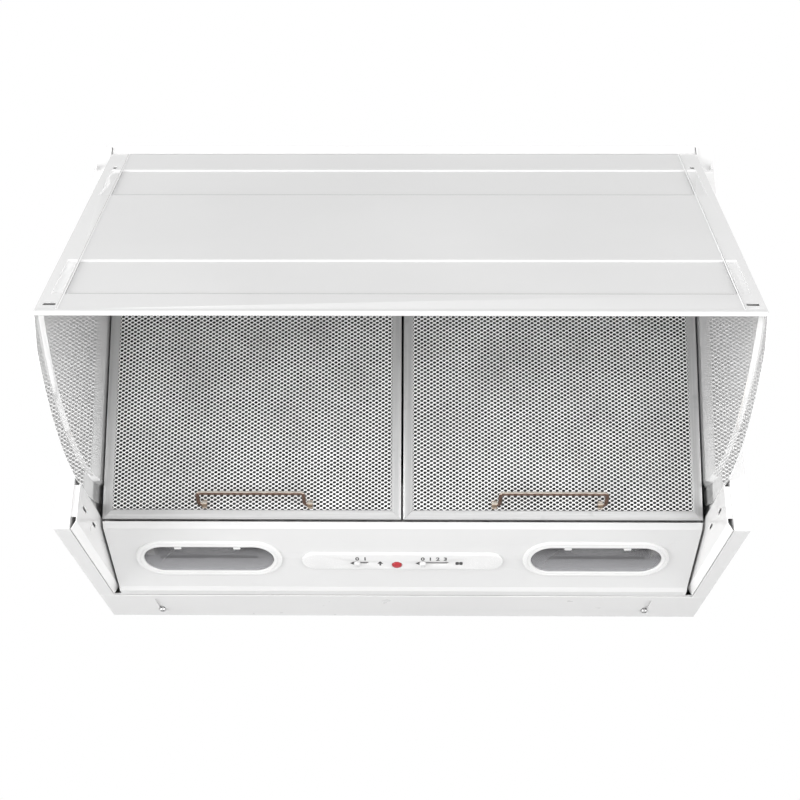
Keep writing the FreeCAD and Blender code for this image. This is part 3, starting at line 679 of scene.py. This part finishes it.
def perforatedSheet(side):
    s = meshSheet
    node = "filter_mesh_" + side
    low, high = filterPlane.corners(node)
    face = high.z - s["tilt"]
    columns = int((high.x - low.x) / s["pitchAcross"])
    rows = int((high.y - low.y) / (s["pitchUp"] / 2)) - 1
    startX = (low.x + high.x - (columns - 0.5) * s["pitchAcross"]) / 2
    startU = (low.y + high.y - (rows - 1) * s["pitchUp"] / 2) / 2
    vertices = []
    faces = []
    bonds = {}
    dark = set()           # faces inside the holes and behind the sheet; their near-black finish is painted shade

    def wave(x, u):
        ripple = math.sin(x * 31 + 1.2 * math.sin(u * 23)) + 0.6 * math.sin(u * 41 + x * 13)
        return s["wave"] * ripple / 2

    def addVertex(x, u, w):
        vertices.append(filterPlane.at(x, u, face + w + wave(x, u)))
        return len(vertices) - 1

    def bond(column, row, x, u):
        # Corner shared by four holes; keyed on half columns and rows.
        key = (column, row)
        if key not in bonds:
            bonds[key] = addVertex(x, u, 0)
        return bonds[key]

    halfX = s["pitchAcross"] / 2
    halfU = s["pitchUp"] / 2
    ringShape = [(1, 0, 0.5), (0.5, 1, -0.4), (-0.5, 1, -1), (-1, 0, -0.5), (-0.5, -1, 0.4), (0.5, -1, 1)]
    for row in range(rows):
        u = startU + row * halfU
        for column in range(columns):
            half = 2 * column + row % 2
            x = startX + half * halfX
            right = bond(half + 1, row, x + halfX, u)
            left = bond(half - 1, row, x - halfX, u)
            top = bond(half, row + 1, x, u + halfU)
            bottom = bond(half, row - 1, x, u - halfU)
            rim = []
            back = []
            for a, b, lean in ringShape:
                px = x + (a + b * s["skew"]) * s["holeAcross"]
                pu = u + b * s["holeUp"]
                rim.append(addVertex(px, pu, lean * s["tilt"] * 0.5))
                back.append(addVertex(px, pu - 0.2 * s["strand"], lean * s["tilt"] * 0.5 - s["strand"]))
            faces += [
                (right, rim[1], rim[0]), (right, rim[0], rim[5]), (right, top, rim[1]),
                (top, rim[2], rim[1]), (top, left, rim[2]), (left, rim[3], rim[2]),
                (left, rim[4], rim[3]), (left, bottom, rim[4]), (bottom, rim[5], rim[4]),
                (bottom, right, rim[5]),
            ]
            # The six walls of each hole take the near-black pack finish: painted shade.
            dark.update(range(len(faces), len(faces) + 6))
            for i in range(6):
                j = (i + 1) % 6
                faces.append((rim[i], rim[j], back[j], back[i]))
    # The pack behind the sheet is a slab with softly rounded edges.
    mesh = bpy.data.meshes.new(node)
    bm = bmesh.new()
    shape = softBox(
        (low.x + high.x) / 2, (low.y + high.y) / 2,
        (high.x - low.x) / 2, (high.y - low.y) / 2, 2 * mm, 3,
    )
    addSolid(bm, filterPlane, filletRings(shape, low.z, high.z - s["packGap"], 1 * mm, 3))
    bm.verts.index_update()
    offset = len(vertices)
    vertices += [v.co.copy() for v in bm.verts]
    dark.update(range(len(faces), len(faces) + len(bm.faces)))
    faces += [tuple(offset + v.index for v in f.verts) for f in bm.faces]
    bm.free()
    mesh.from_pydata(vertices, [], faces)
    for polygon in mesh.polygons:
        polygon.material_index = 1 if polygon.index in dark else 0
    addPiece("filterMesh_" + side, mesh, "filter_" + side, ["mesh", "pack"], 25, [node])


filterRail = {"lip": 1.1 * mm, "round": 0.7 * mm, "mitreGap": 0.12 * mm, "wall": 1.0 * mm, "border": 9.0 * mm}


def mitredFrame(side):
    # Four folded rails with mitred corners, and the two tabs on top.
    s = filterRail
    node = "filter_frame_" + side
    allLow, allHigh = filterPlane.corners(node)
    tabTop = allHigh.y
    low, high = filterPlane.corners(node, lambda p: p.z > allHigh.z - 0.1 * mm)
    top = high.y
    depth = allHigh.z - allLow.z
    face = allHigh.z
    border = s["border"]
    r = s["round"]
    section = [
        (border, -s["lip"]), (border, -r * 0.5), (border - r * 0.5, 0),
        (r, 0), (r * 0.3, -r * 0.3), (0, -r), (0, -depth + r), (r * 0.3, -depth + r * 0.3), (r, -depth),
        (border - r * 0.5, -depth), (border, -depth + r * 0.5), (border, -depth + s["lip"]),
        (s["wall"], -depth + s["lip"]), (s["wall"], -s["lip"]),
    ]
    bm = bmesh.new()
    rails = [
        (low.x, low.y, high.x, low.y, 0), (high.x, top, low.x, top, 0),
        (high.x, low.y, high.x, top, 1), (low.x, top, low.x, low.y, 1),
    ]
    for x0, u0, x1, u1, surface in rails:
        length = math.hypot(x1 - x0, u1 - u0)
        dx = (x1 - x0) / length
        du = (u1 - u0) / length                # inward is (-du, dx), as the rails run anticlockwise
        ends = []
        for along, sign in ((0, 1), (length, -1)):
            ring = []
            for t, w in section:
                run = along + sign * (t + s["mitreGap"])
                point = filterPlane.at(x0 + dx * run - du * t, u0 + du * run + dx * t, face + w)
                ring.append(bm.verts.new(point))
            ends.append(ring)
        addBar(bm, ends, surface)
    centreX = (low.x + high.x) / 2
    for sign in (-1, 1):
        keep = lambda p: p.y > top + 1 * mm and (p.x - centreX) * sign > 0
        tabLow, tabHigh = filterPlane.corners(node, keep)
        shape = softBox(
            (tabLow.x + tabHigh.x) / 2, (top - 2 * mm + tabTop) / 2,
            (tabHigh.x - tabLow.x) / 2, (tabTop - top + 2 * mm) / 2, 2.5 * mm, 4,
        )
        addSolid(bm, filterPlane, filletRings(shape, tabLow.z, tabHigh.z, 0.5 * mm, 2))
    mesh = finishMesh(node, bm)
    addPiece("filterFrame_" + side, mesh, "filter_" + side, ["acrossAluminium", "upAluminium"],
             30, [node])


wireHandle = {"bend": 3.6 * mm}


def bentHandle(side):
    # Nickel wire bail: a bar, two legs, and an eye end through each clip.
    s = wireHandle
    node = "filter_handle_" + side
    low, high = filterPlane.corners(node)
    pivot = filterPlane.read(Vector(jointNamed("handle_" + side + "_swing")["pos_m"]))
    radius = pivot.z - low.z
    barLow, barHigh = filterPlane.corners(node, lambda p: p.z > high.z - radius)
    reachU = high.y - radius
    reachW = high.z - radius
    left = barLow.x + radius
    right = barHigh.x - radius
    pin = max(high.x - barHigh.x, barLow.x - low.x) + radius
    inward = -1 if side == "right" else 1        # both ends turn towards the middle of the hood
    corners = [(left + inward * pin, pivot.y, pivot.z), (left, pivot.y, pivot.z), (left, reachU, reachW),
               (right, reachU, reachW), (right, pivot.y, pivot.z), (right + inward * pin, pivot.y, pivot.z)]
    route = roundedRoute([filterPlane.at(*c) for c in corners], s["bend"], 7)
    bm = bmesh.new()
    addTube(bm, route, radius, 16)
    mesh = finishMesh(node, bm)
    addPiece("filterHandle_" + side, mesh, "handle_" + side, ["nickel"], 50, [node])


padClip = {
    "sheet": 0.8 * mm, "halfAcross": 2.3 * mm, "foot": 1.3 * mm,
    "rivet": 0.5 * mm, "rivetRise": 0.5 * mm,
}


def handleClips(side):
    # Strap folded over each wire end, with a riveted foot above and below it.
    s = padClip
    node = "handle_pads_" + side
    allLow, allHigh = filterPlane.corners(node)
    centreX = (allLow.x + allHigh.x) / 2
    pivot = filterPlane.read(Vector(jointNamed("handle_" + side + "_swing")["pos_m"]))
    bm = bmesh.new()
    for sign in (-1, 1):
        low, high = filterPlane.corners(node, lambda p: (p.x - centreX) * sign > 0)
        centre = (low.x + high.x) / 2
        seat = low.z
        crown = high.z - seat
        bend = crown - (pivot.z - seat)              # outer radius of the fold round the wire
        end = bend + s["foot"]
        outline = [(-end, 0), (-end, s["sheet"]), (-bend, s["sheet"])]
        for step in range(9):
            angle = math.radians(180 - 22.5 * step)
            outline.append((bend * math.cos(angle), crown - bend + bend * math.sin(angle)))
        outline += [(bend, s["sheet"]), (end, s["sheet"]), (end, 0)]
        ends = []
        for x in (centre - s["halfAcross"], centre + s["halfAcross"]):
            ends.append([bm.verts.new(filterPlane.at(x, pivot.y + a, seat + b)) for a, b in outline])
        addBar(bm, ends)
        for way in (-1, 1):
            u = pivot.y + way * (bend + s["foot"] * 0.55)
            shape = softDisc(centre, u, s["rivet"], 5)
            base = seat + s["sheet"]
            crown = base + s["rivetRise"]
            addSolid(bm, filterPlane, filletRings(shape, base, crown, s["rivetRise"] * 0.9, 4))
    mesh = finishMesh(node, bm)
    addPiece("handleClips_" + side, mesh, "filter_" + side, ["clip"], 35, [node])


for side in ("left", "right"):
    perforatedSheet(side)
    mitredFrame(side)
    bentHandle(side)
    handleClips(side)
print("filters made")


bezelRing = {
    "edge": 1.76 * mm, "inner": 1.6 * mm, "gap": 0.35 * mm,
    "groovePlace": 3.2 * mm, "grooveHalf": 0.45 * mm, "groove": 0.5 * mm,
}


def lampBezels():
    # Oval ring with a fine groove round the opening for the cover.
    s = bezelRing
    bm = bmesh.new()
    for sign, side in ((-1, "left"), (1, "right")):
        low, high = panelPlane.corners("lamp_bezels", lambda p: p.x * sign > 0)
        lensLow, lensHigh = panelPlane.corners("lamp_lens_" + side, lambda p: p.z > low.z)
        x, u, halfX, halfU = middle(low, high)
        openX = (lensHigh.x - lensLow.x) / 2 + s["gap"]
        openU = (lensHigh.y - lensLow.y) / 2 + s["gap"]
        outer = softBox(x, u, halfX, halfU, halfU, 14)
        inner = softBox(x, u, openX, openU, openU, 14)
        crest = high.z
        rings = addRings(bm, panelPlane, filletRings(outer, low.z, crest, s["edge"], 6))
        near = -s["groovePlace"]
        hole = [
            (inner(near - 2 * s["grooveHalf"]), crest), (inner(near - s["grooveHalf"]), crest - s["groove"]),
            (inner(near), crest), (inner(-s["inner"]), crest),
        ]
        for step in range(1, 6):
            angle = math.radians(90) * step / 5
            drop = s["inner"] * (1 - math.cos(angle))
            hole.append((inner(-s["inner"] * (1 - math.sin(angle))), crest - drop))
        hole.append((inner(0), low.z))
        opening = addRings(bm, panelPlane, hole)
        fillRings(bm, [rings[-1], opening[0]])
        fillRings(bm, [rings[0], opening[-1]])
    mesh = finishMesh("lamp_bezels", bm)
    addPiece("lampBezels", mesh, "casing", ["whitePlastic"], 30, ["lamp_bezels"])


lampCover = {"thick": 1.1 * mm, "rim": 2.2 * mm, "tab": 7.0 * mm, "tabUp": 1.3 * mm, "tabRise": 0.3 * mm}


def lampCovers(side):
    # Clear cover: raised rim, dished middle and two hooked clips along its front edge.
    s = lampCover
    node = "lamp_lens_" + side
    face = panelPlane.corners(node)[1].z
    low, high = panelPlane.corners(node, lambda p: p.z > face - 0.1 * mm)
    x, u, halfX, halfU = middle(low, high)
    shape = softBox(x, u, halfX, halfU, halfU, 16)
    bm = bmesh.new()
    outside = filletRings(shape, face - s["thick"] * 1.5, face, 0.5 * mm, 4)
    outside += [
        (shape(s["rim"]), face), (shape(s["rim"] + 0.5 * mm), face - 0.5 * mm),
        (shape(halfU * 0.45), face - 0.3 * mm), (shape(halfU * 0.75), face - 0.15 * mm),
    ]
    inside = [(outline, w - s["thick"]) for outline, w in outside[-3:]][::-1]
    rings = addRings(bm, panelPlane, outside)
    under = addRings(bm, panelPlane, inside + [(shape(0.8 * mm), face - s["thick"] * 1.5)])
    fillRings(bm, [rings[-1]])
    fillRings(bm, [under[0]])
    fillRings(bm, [rings[0], under[-1]])
    for sign in (-1, 1):
        keep = lambda p: p.z < face - 3 * mm and (p.x - x) * sign > 0
        clipLow, clipHigh = panelPlane.corners(node, keep)
        cx = (clipLow.x + clipHigh.x) / 2
        halfClip = (clipHigh.x - clipLow.x) / 2
        profile = [
            (clipHigh.y, face - s["thick"]), (clipHigh.y, clipLow.z + 1.2 * mm),
            (clipHigh.y + 0.1 * mm, clipLow.z), (clipLow.y + 0.3 * mm, clipLow.z),
            (clipLow.y, clipLow.z + 0.6 * mm), (clipLow.y, face - s["thick"]),
        ]
        ends = []
        for place in (cx - halfClip, cx + halfClip):
            ends.append([bm.verts.new(panelPlane.at(place, up, w)) for up, w in profile])
        addBar(bm, ends)
        pad = softBox(cx, high.y - s["tabUp"], s["tab"] / 2, s["tabUp"], 0.9 * mm, 4)
        half = s["tabRise"]
        addSolid(bm, panelPlane, filletRings(pad, face - half, face + half, half, 3), 1)
    mesh = finishMesh(node, bm)
    surfaces = ["cover", "whitePlastic"]
    addPiece("lampCover_" + side, mesh, "lens_" + side, surfaces, 40, [node])


candleBulb = {
    "threadPitch": 2.4 * mm, "threadDepth": 0.5 * mm,
    # Outline of the glass from its tip: share of the length, share of the radius.
    "glass": (
        (0.0, 0.05), (0.01, 0.25), (0.035, 0.5), (0.08, 0.74), (0.14, 0.9), (0.22, 0.98), (0.32, 1.0),
        (0.5, 0.97), (0.62, 0.86), (0.7, 0.68), (0.75, 0.56),
    ),
}


def turnedShape(bm, plane, axisU, axisW, profile, steps=28, surface=0):
    # A lathe shape about an axis that runs across the plane. profile: (x, radius).
    rings = []
    for x, radius in profile:
        ring = []
        for step in range(steps):
            angle = 2 * math.pi * step / steps
            u = axisU + radius * math.cos(angle)
            w = axisW + radius * math.sin(angle)
            ring.append(bm.verts.new(plane.at(x, u, w)))
        rings.append(ring)
    bridge(bm, rings, surface)
    for ring in (rings[0], rings[-1]):
        bm.faces.new(ring).material_index = surface


def bulbs():
    # Candle bulbs: frosted glass drawn to a round tip, and a threaded cap.
    s = candleBulb
    bm = bmesh.new()
    for sign in (-1, 1):
        low, high = panelPlane.corners("lamp_bulbs", lambda p: p.x * sign > 0)
        axisU = (low.y + high.y) / 2
        axisW = (low.z + high.z) / 2
        radius = (high.z - low.z) / 2
        tip = low.x if sign > 0 else high.x
        capEnd = high.x if sign > 0 else low.x
        length = abs(capEnd - tip)
        glass = []
        for share, size in s["glass"]:
            glass.append((tip + sign * length * share, radius * size))
        turnedShape(bm, panelPlane, axisU, axisW, glass)
        start = tip + sign * length * 0.74
        count = int(length * 0.22 / s["threadPitch"] * 4)
        cap = [(start, radius * 0.5)]
        for step in range(count):
            swell = s["threadDepth"] * (0.5 + 0.5 * math.sin(step * math.pi / 2))
            place = 0.5 * mm + s["threadPitch"] * step / 4
            cap.append((start + sign * place, radius * 0.52 - s["threadDepth"] + swell))
        cap.append((capEnd - sign * 1.5 * mm, radius * 0.3))
        cap.append((capEnd, radius * 0.12))
        turnedShape(bm, panelPlane, axisU, axisW, cap, surface=1)
    mesh = finishMesh("lamp_bulbs", bm)
    addPiece("candleBulbs", mesh, "casing", ["bulb", "zinc"], 40, ["lamp_bulbs"])


lampLead = {
    "radius": 0.7 * mm, "bend": 3 * mm,
    # Share across the cover, share up it, and depth behind it in mm.
    "route": ((0.1, 0.12, 6), (0.14, 0.3, 8), (0.22, 0.5, 11), (0.34, 0.62, 15), (0.48, 0.68, 19)),
}


def lampLeads():
    # Thin lead that droops across each lamp box, just above the cover.
    s = lampLead
    bm = bmesh.new()
    for side in ("left", "right"):
        low, high = panelPlane.corners("lamp_lens_" + side)
        face = high.z
        reach = high.x - low.x
        rise = high.y - low.y
        route = []
        for share, up, deep in s["route"]:
            route.append(panelPlane.at(low.x + reach * share, low.y + rise * up, face - deep * mm))
        addTube(bm, roundedRoute(route, s["bend"], 4), s["radius"], 8)
    mesh = finishMesh("lamp_leads", bm)
    addPiece("lampLeads", mesh, "casing", ["cable"], 50)


stripPlate = {
    "round": 1.9 * mm, "slotUp": 1.7 * mm, "slotEnd": 1.6 * mm, "slotSoft": 1.0 * mm, "seatSoft": 0.5 * mm,
}


# How far each slider travels.
sliders = {
    "light_slider": jointNamed("light_slide")["range_m"][1],
    "fan_slider": jointNamed("fan_slide")["range_m"][1],
}


def controlStrip():
    # Pillowed strip with two slots and a seat for the indicator.
    s = stripPlate
    low, high = panelPlane.corners("control_strip")
    x, u, halfX, halfU = middle(low, high)
    outer = softBox(x, u, halfX, halfU, halfU, 14)
    bm = bmesh.new()
    rings = addRings(bm, panelPlane, filletRings(outer, low.z, high.z, s["round"], 6))
    tops = [rings[-1]]
    bottoms = [rings[0]]
    for node, travel in sliders.items():
        postLow, postHigh = panelPlane.corners(node, lambda p: p.z < low.z)
        knobLow, knobHigh = panelPlane.corners(node)
        centreU = (knobLow.y + knobHigh.y) / 2
        x0 = postLow.x - s["slotEnd"]
        x1 = postHigh.x + travel + s["slotEnd"]
        hole = softBox((x0 + x1) / 2, centreU, (x1 - x0) / 2, s["slotUp"], s["slotUp"], 5)
        slot = addRings(bm, panelPlane, [
            (hole(-s["slotSoft"]), high.z), (hole(-s["slotSoft"] * 0.3), high.z - s["slotSoft"] * 0.35),
            (hole(0), high.z - s["slotSoft"]),
        ])
        # The slot walls take a grey finish: painted shade in the slots.
        slotShadeWall = addRings(bm, panelPlane, [(hole(0), high.z - s["slotSoft"]), (hole(0), low.z)], 1)
        tops.append(slot[0])
        bottoms.append(slotShadeWall[-1])
    lampLow, lampHigh = panelPlane.corners("power_indicator")
    r = (lampHigh.x - lampLow.x) / 2 + 0.15 * mm
    cx = (lampLow.x + lampHigh.x) / 2
    cu = (lampLow.y + lampHigh.y) / 2
    seat = softDisc(cx, cu, r, 6)
    socket = addRings(bm, panelPlane, [
        (seat(-s["seatSoft"]), high.z), (seat(0), high.z - s["seatSoft"]), (seat(0), low.z),
    ])
    tops.append(socket[0])
    bottoms.append(socket[-1])
    fillRings(bm, tops)
    fillRings(bm, bottoms)
    mesh = finishMesh("control_strip", bm)
    surfaces = ["whitePlastic", "slotGrey"]
    addPiece("controlStrip", mesh, "casing", surfaces, 30, ["control_strip"])


knobShape = {
    "slim": 0.78, "round": 1.1 * mm, "corner": 2.6 * mm,
    "ribs": 3, "ribPitch": 1.6 * mm, "ribHalf": 0.35 * mm, "ribRise": 0.35 * mm,
}


def sliderKnob(node):
    # Ribbed cap on a post that reaches into the switch.
    s = knobShape
    low, high = panelPlane.corners(node)
    stripTop = panelPlane.corners("control_strip")[1].z
    postLow, postHigh = panelPlane.corners(node, lambda p: p.z < stripTop - 4 * mm)
    x, u, halfX, halfU = middle(low, high)
    halfX *= s["slim"]
    top = high.z - s["ribRise"]
    bm = bmesh.new()
    cap = softBox(x, u, halfX, halfU, s["corner"], 6)
    addSolid(bm, panelPlane, filletRings(cap, stripTop + 0.3 * mm, top, s["round"], 5))
    for i in range(s["ribs"]):
        rx = x + (i - (s["ribs"] - 1) / 2) * s["ribPitch"]
        rib = softBox(rx, u, s["ribHalf"], halfU - 1.5 * mm, s["ribHalf"], 3)
        addSolid(bm, panelPlane, filletRings(rib, top - 0.1 * mm, high.z, 0.25 * mm, 3))
    post = softBox(
        (postLow.x + postHigh.x) / 2, (postLow.y + postHigh.y) / 2,
        (postHigh.x - postLow.x) / 2, 1.4 * mm, 0.4 * mm, 2,
    )
    addSolid(bm, panelPlane, [(post(0), postLow.z), (post(0), stripTop + 0.6 * mm)])
    mesh = finishMesh(node, bm)
    addPiece(node.replace("_slider", "Knob"), mesh, node, ["whitePlastic"], 30, [node])


def indicatorDome():
    # Round cap with a domed front.
    low, high = panelPlane.corners("power_indicator")
    x, u, r, _ = middle(low, high)
    shape = softDisc(x, u, r, 8)
    rise = high.z - panelPlane.corners("control_strip")[1].z
    bm = bmesh.new()
    rings = [(shape(0), low.z), (shape(0), high.z - rise)]
    for step in range(1, 8):
        angle = math.radians(90) * step / 7
        rings.append((shape(r * (1 - math.cos(angle)) * 0.98), high.z - rise + rise * math.sin(angle)))
    addSolid(bm, panelPlane, rings)
    mesh = finishMesh("power_indicator", bm)
    addPiece("indicatorDome", mesh, "casing", ["red"], 60, ["power_indicator"])


printing = {
    "digit": 7.0 * mm, "bold": 0.26 * mm, "above": 6.8 * mm, "lift": 0.06 * mm,
    "arrow": 4.4 * mm, "arrowHalf": 2.7 * mm, "arrowGap": 1.2 * mm,
    "signHalf": 2.9 * mm, "lampSign": 10.4 * mm, "fanSign": 9.2 * mm,     # from the knob's far place
}


def addGlyph(bm, text, size, x, u, w):
    # A flat printed character, taken from the built-in font.
    curve = bpy.data.curves.new("glyph", "FONT")
    curve.body = text
    curve.size = size
    curve.offset = printing["bold"]
    curve.align_x = "CENTER"
    curve.align_y = "CENTER"
    curve.fill_mode = "FRONT"
    holder = bpy.data.objects.new("glyph", curve)
    flat = bpy.data.meshes.new_from_object(holder)
    start = len(bm.verts)
    bm.from_mesh(flat)
    bm.verts.ensure_lookup_table()
    for vertex in bm.verts[start:]:
        vertex.co = panelPlane.at(x + vertex.co.x, u + vertex.co.y, w)
    bpy.data.objects.remove(holder)
    bpy.data.curves.remove(curve)
    bpy.data.meshes.remove(flat)


def addFlatShape(bm, points, w):
    ring = [bm.verts.new(panelPlane.at(x, u, w)) for x, u in points]
    bm.faces.new(ring)


def printedMarks():
    # Digits over the slots, arrows beside them, and a sign for the lamp and the fan.
    s = printing
    stripTop = panelPlane.corners("control_strip")[1].z
    w = stripTop + s["lift"]
    bm = bmesh.new()
    ends = []
    for node, digits in (("light_slider", "01"), ("fan_slider", "0123")):
        low, high = panelPlane.corners(node)
        x = (low.x + high.x) / 2
        u = (low.y + high.y) / 2
        travel = sliders[node]
        for i, digit in enumerate(digits):
            addGlyph(bm, digit, s["digit"], x + travel * i / (len(digits) - 1), u + s["above"], w)
        tip = low.x - s["arrow"] + s["arrowGap"]
        back = tip + s["arrow"]
        half = s["arrowHalf"]
        addFlatShape(bm, [(tip, u), (back, u - half), (back - 1 * mm, u), (back, u + half)], w)
        ends.append((high.x + travel, u))
    # Lamp sign: a shade over a stem. Fan sign: two round vanes.
    half = s["signHalf"]
    x = ends[0][0] + s["lampSign"]
    u = ends[0][1]
    addFlatShape(bm, [(x - half, u - half * 0.3), (x + half, u - half * 0.3), (x, u + half * 1.1)], w)
    addFlatShape(bm, roundedBox(x, u - half * 0.85, half * 0.3, half * 0.45, half * 0.1, 3), w)
    x = ends[1][0] + s["fanSign"]
    u = ends[1][1]
    for way in (-1, 1):
        addFlatShape(bm, roundedBox(x + way * half * 0.62, u, half * 0.58, half * 0.85, half * 0.4, 5), w)
    mesh = finishMesh("printed_marks", bm)
    addPiece("printedMarks", mesh, "casing", ["ink"], 30)


lampBezels()
for side in ("left", "right"):
    lampCovers(side)
bulbs()
lampLeads()
controlStrip()
for node in sliders:
    sliderKnob(node)
indicatorDome()
printedMarks()
print("control panel made")


def islands(node, plane):
    # Low and high corner of each separate solid in a node, told apart by distance.
    points = [plane.read(v.co) for v in nodes[node].data.vertices]
    groups = []
    for p in points:
        for group in groups:
            if (group[0] - p).length < 14 * mm:
                group.append(p)
                break
        else:
            groups.append([p])
    return [span(group) for group in groups]


def screwSet(name, node, plane, headRise, washer=False, shankRadius=1.6 * mm):
    # A head for each screw of the node, on its shank; with a washer, the head is narrower than the solid.
    bm = bmesh.new()
    for low, high in islands(node, plane):
        x, u, radius, _ = middle(low, high)
        seat = high.z - headRise
        addScrew(bm, plane, x, u, seat, radius * (0.82 if washer else 1), headRise, radius if washer else 0)
        shank = softDisc(x, u, shankRadius, 5)(0)
        tip = softDisc(x, u, shankRadius * 0.4, 5)(0)
        rings = addRings(bm, plane, [(shank, seat), (shank, low.z + 1.2 * mm), (tip, low.z)])
        fillRings(bm, [rings[-1]])
    mesh = finishMesh(name, bm)
    addPiece(name, mesh, nodes[node]["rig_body"], ["zinc"], 32, [node])


screwSet("casingScrews", "casing_screws", topPlane, 2 * mm)
screwSet("collarScrews", "collar_screws", topPlane, 2 * mm)
screwSet("trimScrews", "trim_screws", underPlane, 2.2 * mm, True, 2 * mm)
screwSet("panelScrews", "panel_screws", underPlane, 1.8 * mm)
screwSet("housingScrews", "housing_screws", sidePlane, 1.6 * mm)


# Shares of the gland's height and of its half width: nut, ribbed clamp, soft sleeve.
glandShape = {
    "nut": ((0.0, 0.25), (0.3, 0.25), (0.32, 0.0), (0.55, 0.0), (0.57, 0.18)),
    "ribs": 8, "ribsFrom": 0.6, "ribPitch": 0.045, "ribCuts": (0.14, 0.2),
    "sleeve": ((0.97, 0.3), (1.0, 0.42)), "bore": 0.62, "sides": 18,
}


def cableGland():
    # Faceted nut, ribbed clamp and a soft sleeve round the cable hole.
    s = glandShape
    low, high = topPlane.corners("cable_gland")
    x, y, halfX, halfY = middle(low, high)
    reach = min(halfX, halfY)
    levels = list(s["nut"])
    for step in range(s["ribs"]):
        levels.append((s["ribsFrom"] + step * s["ribPitch"], s["ribCuts"][step % 2]))
    levels += s["sleeve"]

    def facets(cut):
        angles = [2 * math.pi * i / s["sides"] for i in range(s["sides"])]
        r = reach * (1 - cut)
        return [(x + r * math.cos(a), y + r * math.sin(a)) for a in angles]

    bm = bmesh.new()
    outside = [(facets(cut), low.z + (high.z - low.z) * share) for share, cut in levels]
    rings = addRings(bm, topPlane, outside)
    hole = addRings(bm, topPlane, [(facets(s["bore"]), high.z), (facets(s["bore"]), low.z)])
    fillRings(bm, [rings[-1], hole[0]])
    fillRings(bm, [rings[0], hole[-1]])
    mesh = finishMesh("cable_gland", bm)
    addPiece("cableGland", mesh, "casing", ["blackPlastic"], 35, ["cable_gland"])


cableGland()
print("screws made")


cameraSetup = {
    "aside": 11.5 * mm, "inFront": 1.142, "below": 0.396,
    "tilt": 24.43, "turn": 0.66, "roll": 0.38, "lens": 63,
}


def addCamera():
    s = cameraSetup
    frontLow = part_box("casing_side_left")[0]
    data = bpy.data.cameras.new("camera")
    data.lens = s["lens"]
    data.sensor_width = 36
    data.clip_end = 50
    camera = bpy.data.objects.new("camera", data)
    scene.collection.objects.link(camera)
    place = Matrix.Translation((s["aside"], frontLow.y - s["inFront"], frontLow.z - s["below"]))
    turn = Matrix.Rotation(math.radians(s["turn"]), 4, "Z")
    tilt = Matrix.Rotation(math.radians(90 + s["tilt"]), 4, "X")
    roll = Matrix.Rotation(math.radians(s["roll"]), 4, "Z")
    camera.matrix_world = place @ turn @ tilt @ roll
    scene.camera = camera


softLights = {
    "key": {"place": (-2.1, -1.6, -0.6), "size": 1.4, "power": 44},
    "fill": {"place": (2.0, -1.6, -0.7), "size": 1.4, "power": 26},
    "low": {"place": (0.3, -1.7, -1.1), "size": 1.6, "power": 15},
    "behind": {"place": (-0.4, 1.8, 1.2), "size": 1.6, "power": 8},
}


def addLights():
    for name, s in softLights.items():
        data = bpy.data.lights.new(name, "AREA")
        data.shape = "SQUARE"
        data.size = s["size"]
        data.energy = s["power"]
        lamp = bpy.data.objects.new(name, data)
        scene.collection.objects.link(lamp)
        lamp.location = s["place"]
        aim = Vector((0, -0.1, 0)) - lamp.location
        lamp.rotation_euler = aim.to_track_quat("-Z", "Y").to_euler()


room = {"drop": 1.0, "size": 12.0, "brightness": 1.0, "ceiling": 0.6}


def addRoom():
    # White all round, with a dimmer ceiling in front of the hood.
    sky = Finish("studio", "worlds")
    lean = sky.along(sky.node("ShaderNodeTexCoord", out="Generated"), (0, -0.45, 0.89))
    shade = sky.ramp(lean, [(0.28, 1.0), (0.75, room["ceiling"])])
    backdrop = sky.node("ShaderNodeBackground", {}, {"Color": shade, "Strength": room["brightness"]})
    scene.world = sky.close(backdrop, "ShaderNodeOutputWorld")
    half = room["size"] / 2
    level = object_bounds()[0][2] - room["drop"]
    bm = bmesh.new()
    bm.faces.new([bm.verts.new((x * half, y * half, level)) for x, y in ((-1, -1), (1, -1), (1, 1), (-1, 1))])
    mesh = finishMesh("floor", bm)
    f = Finish("paleFloor")
    tone = f.mix(grey(0.78), grey(0.84), f.noise(2, 3))
    mesh.materials.append(f.surface(Base_Color=tone, Roughness=0.6))
    ground = bpy.data.objects.new("floor", mesh)
    scene.collection.objects.link(ground)
    scene.view_settings.view_transform = "Standard"


addCamera()
addLights()
addRoom()
print("camera and light set")
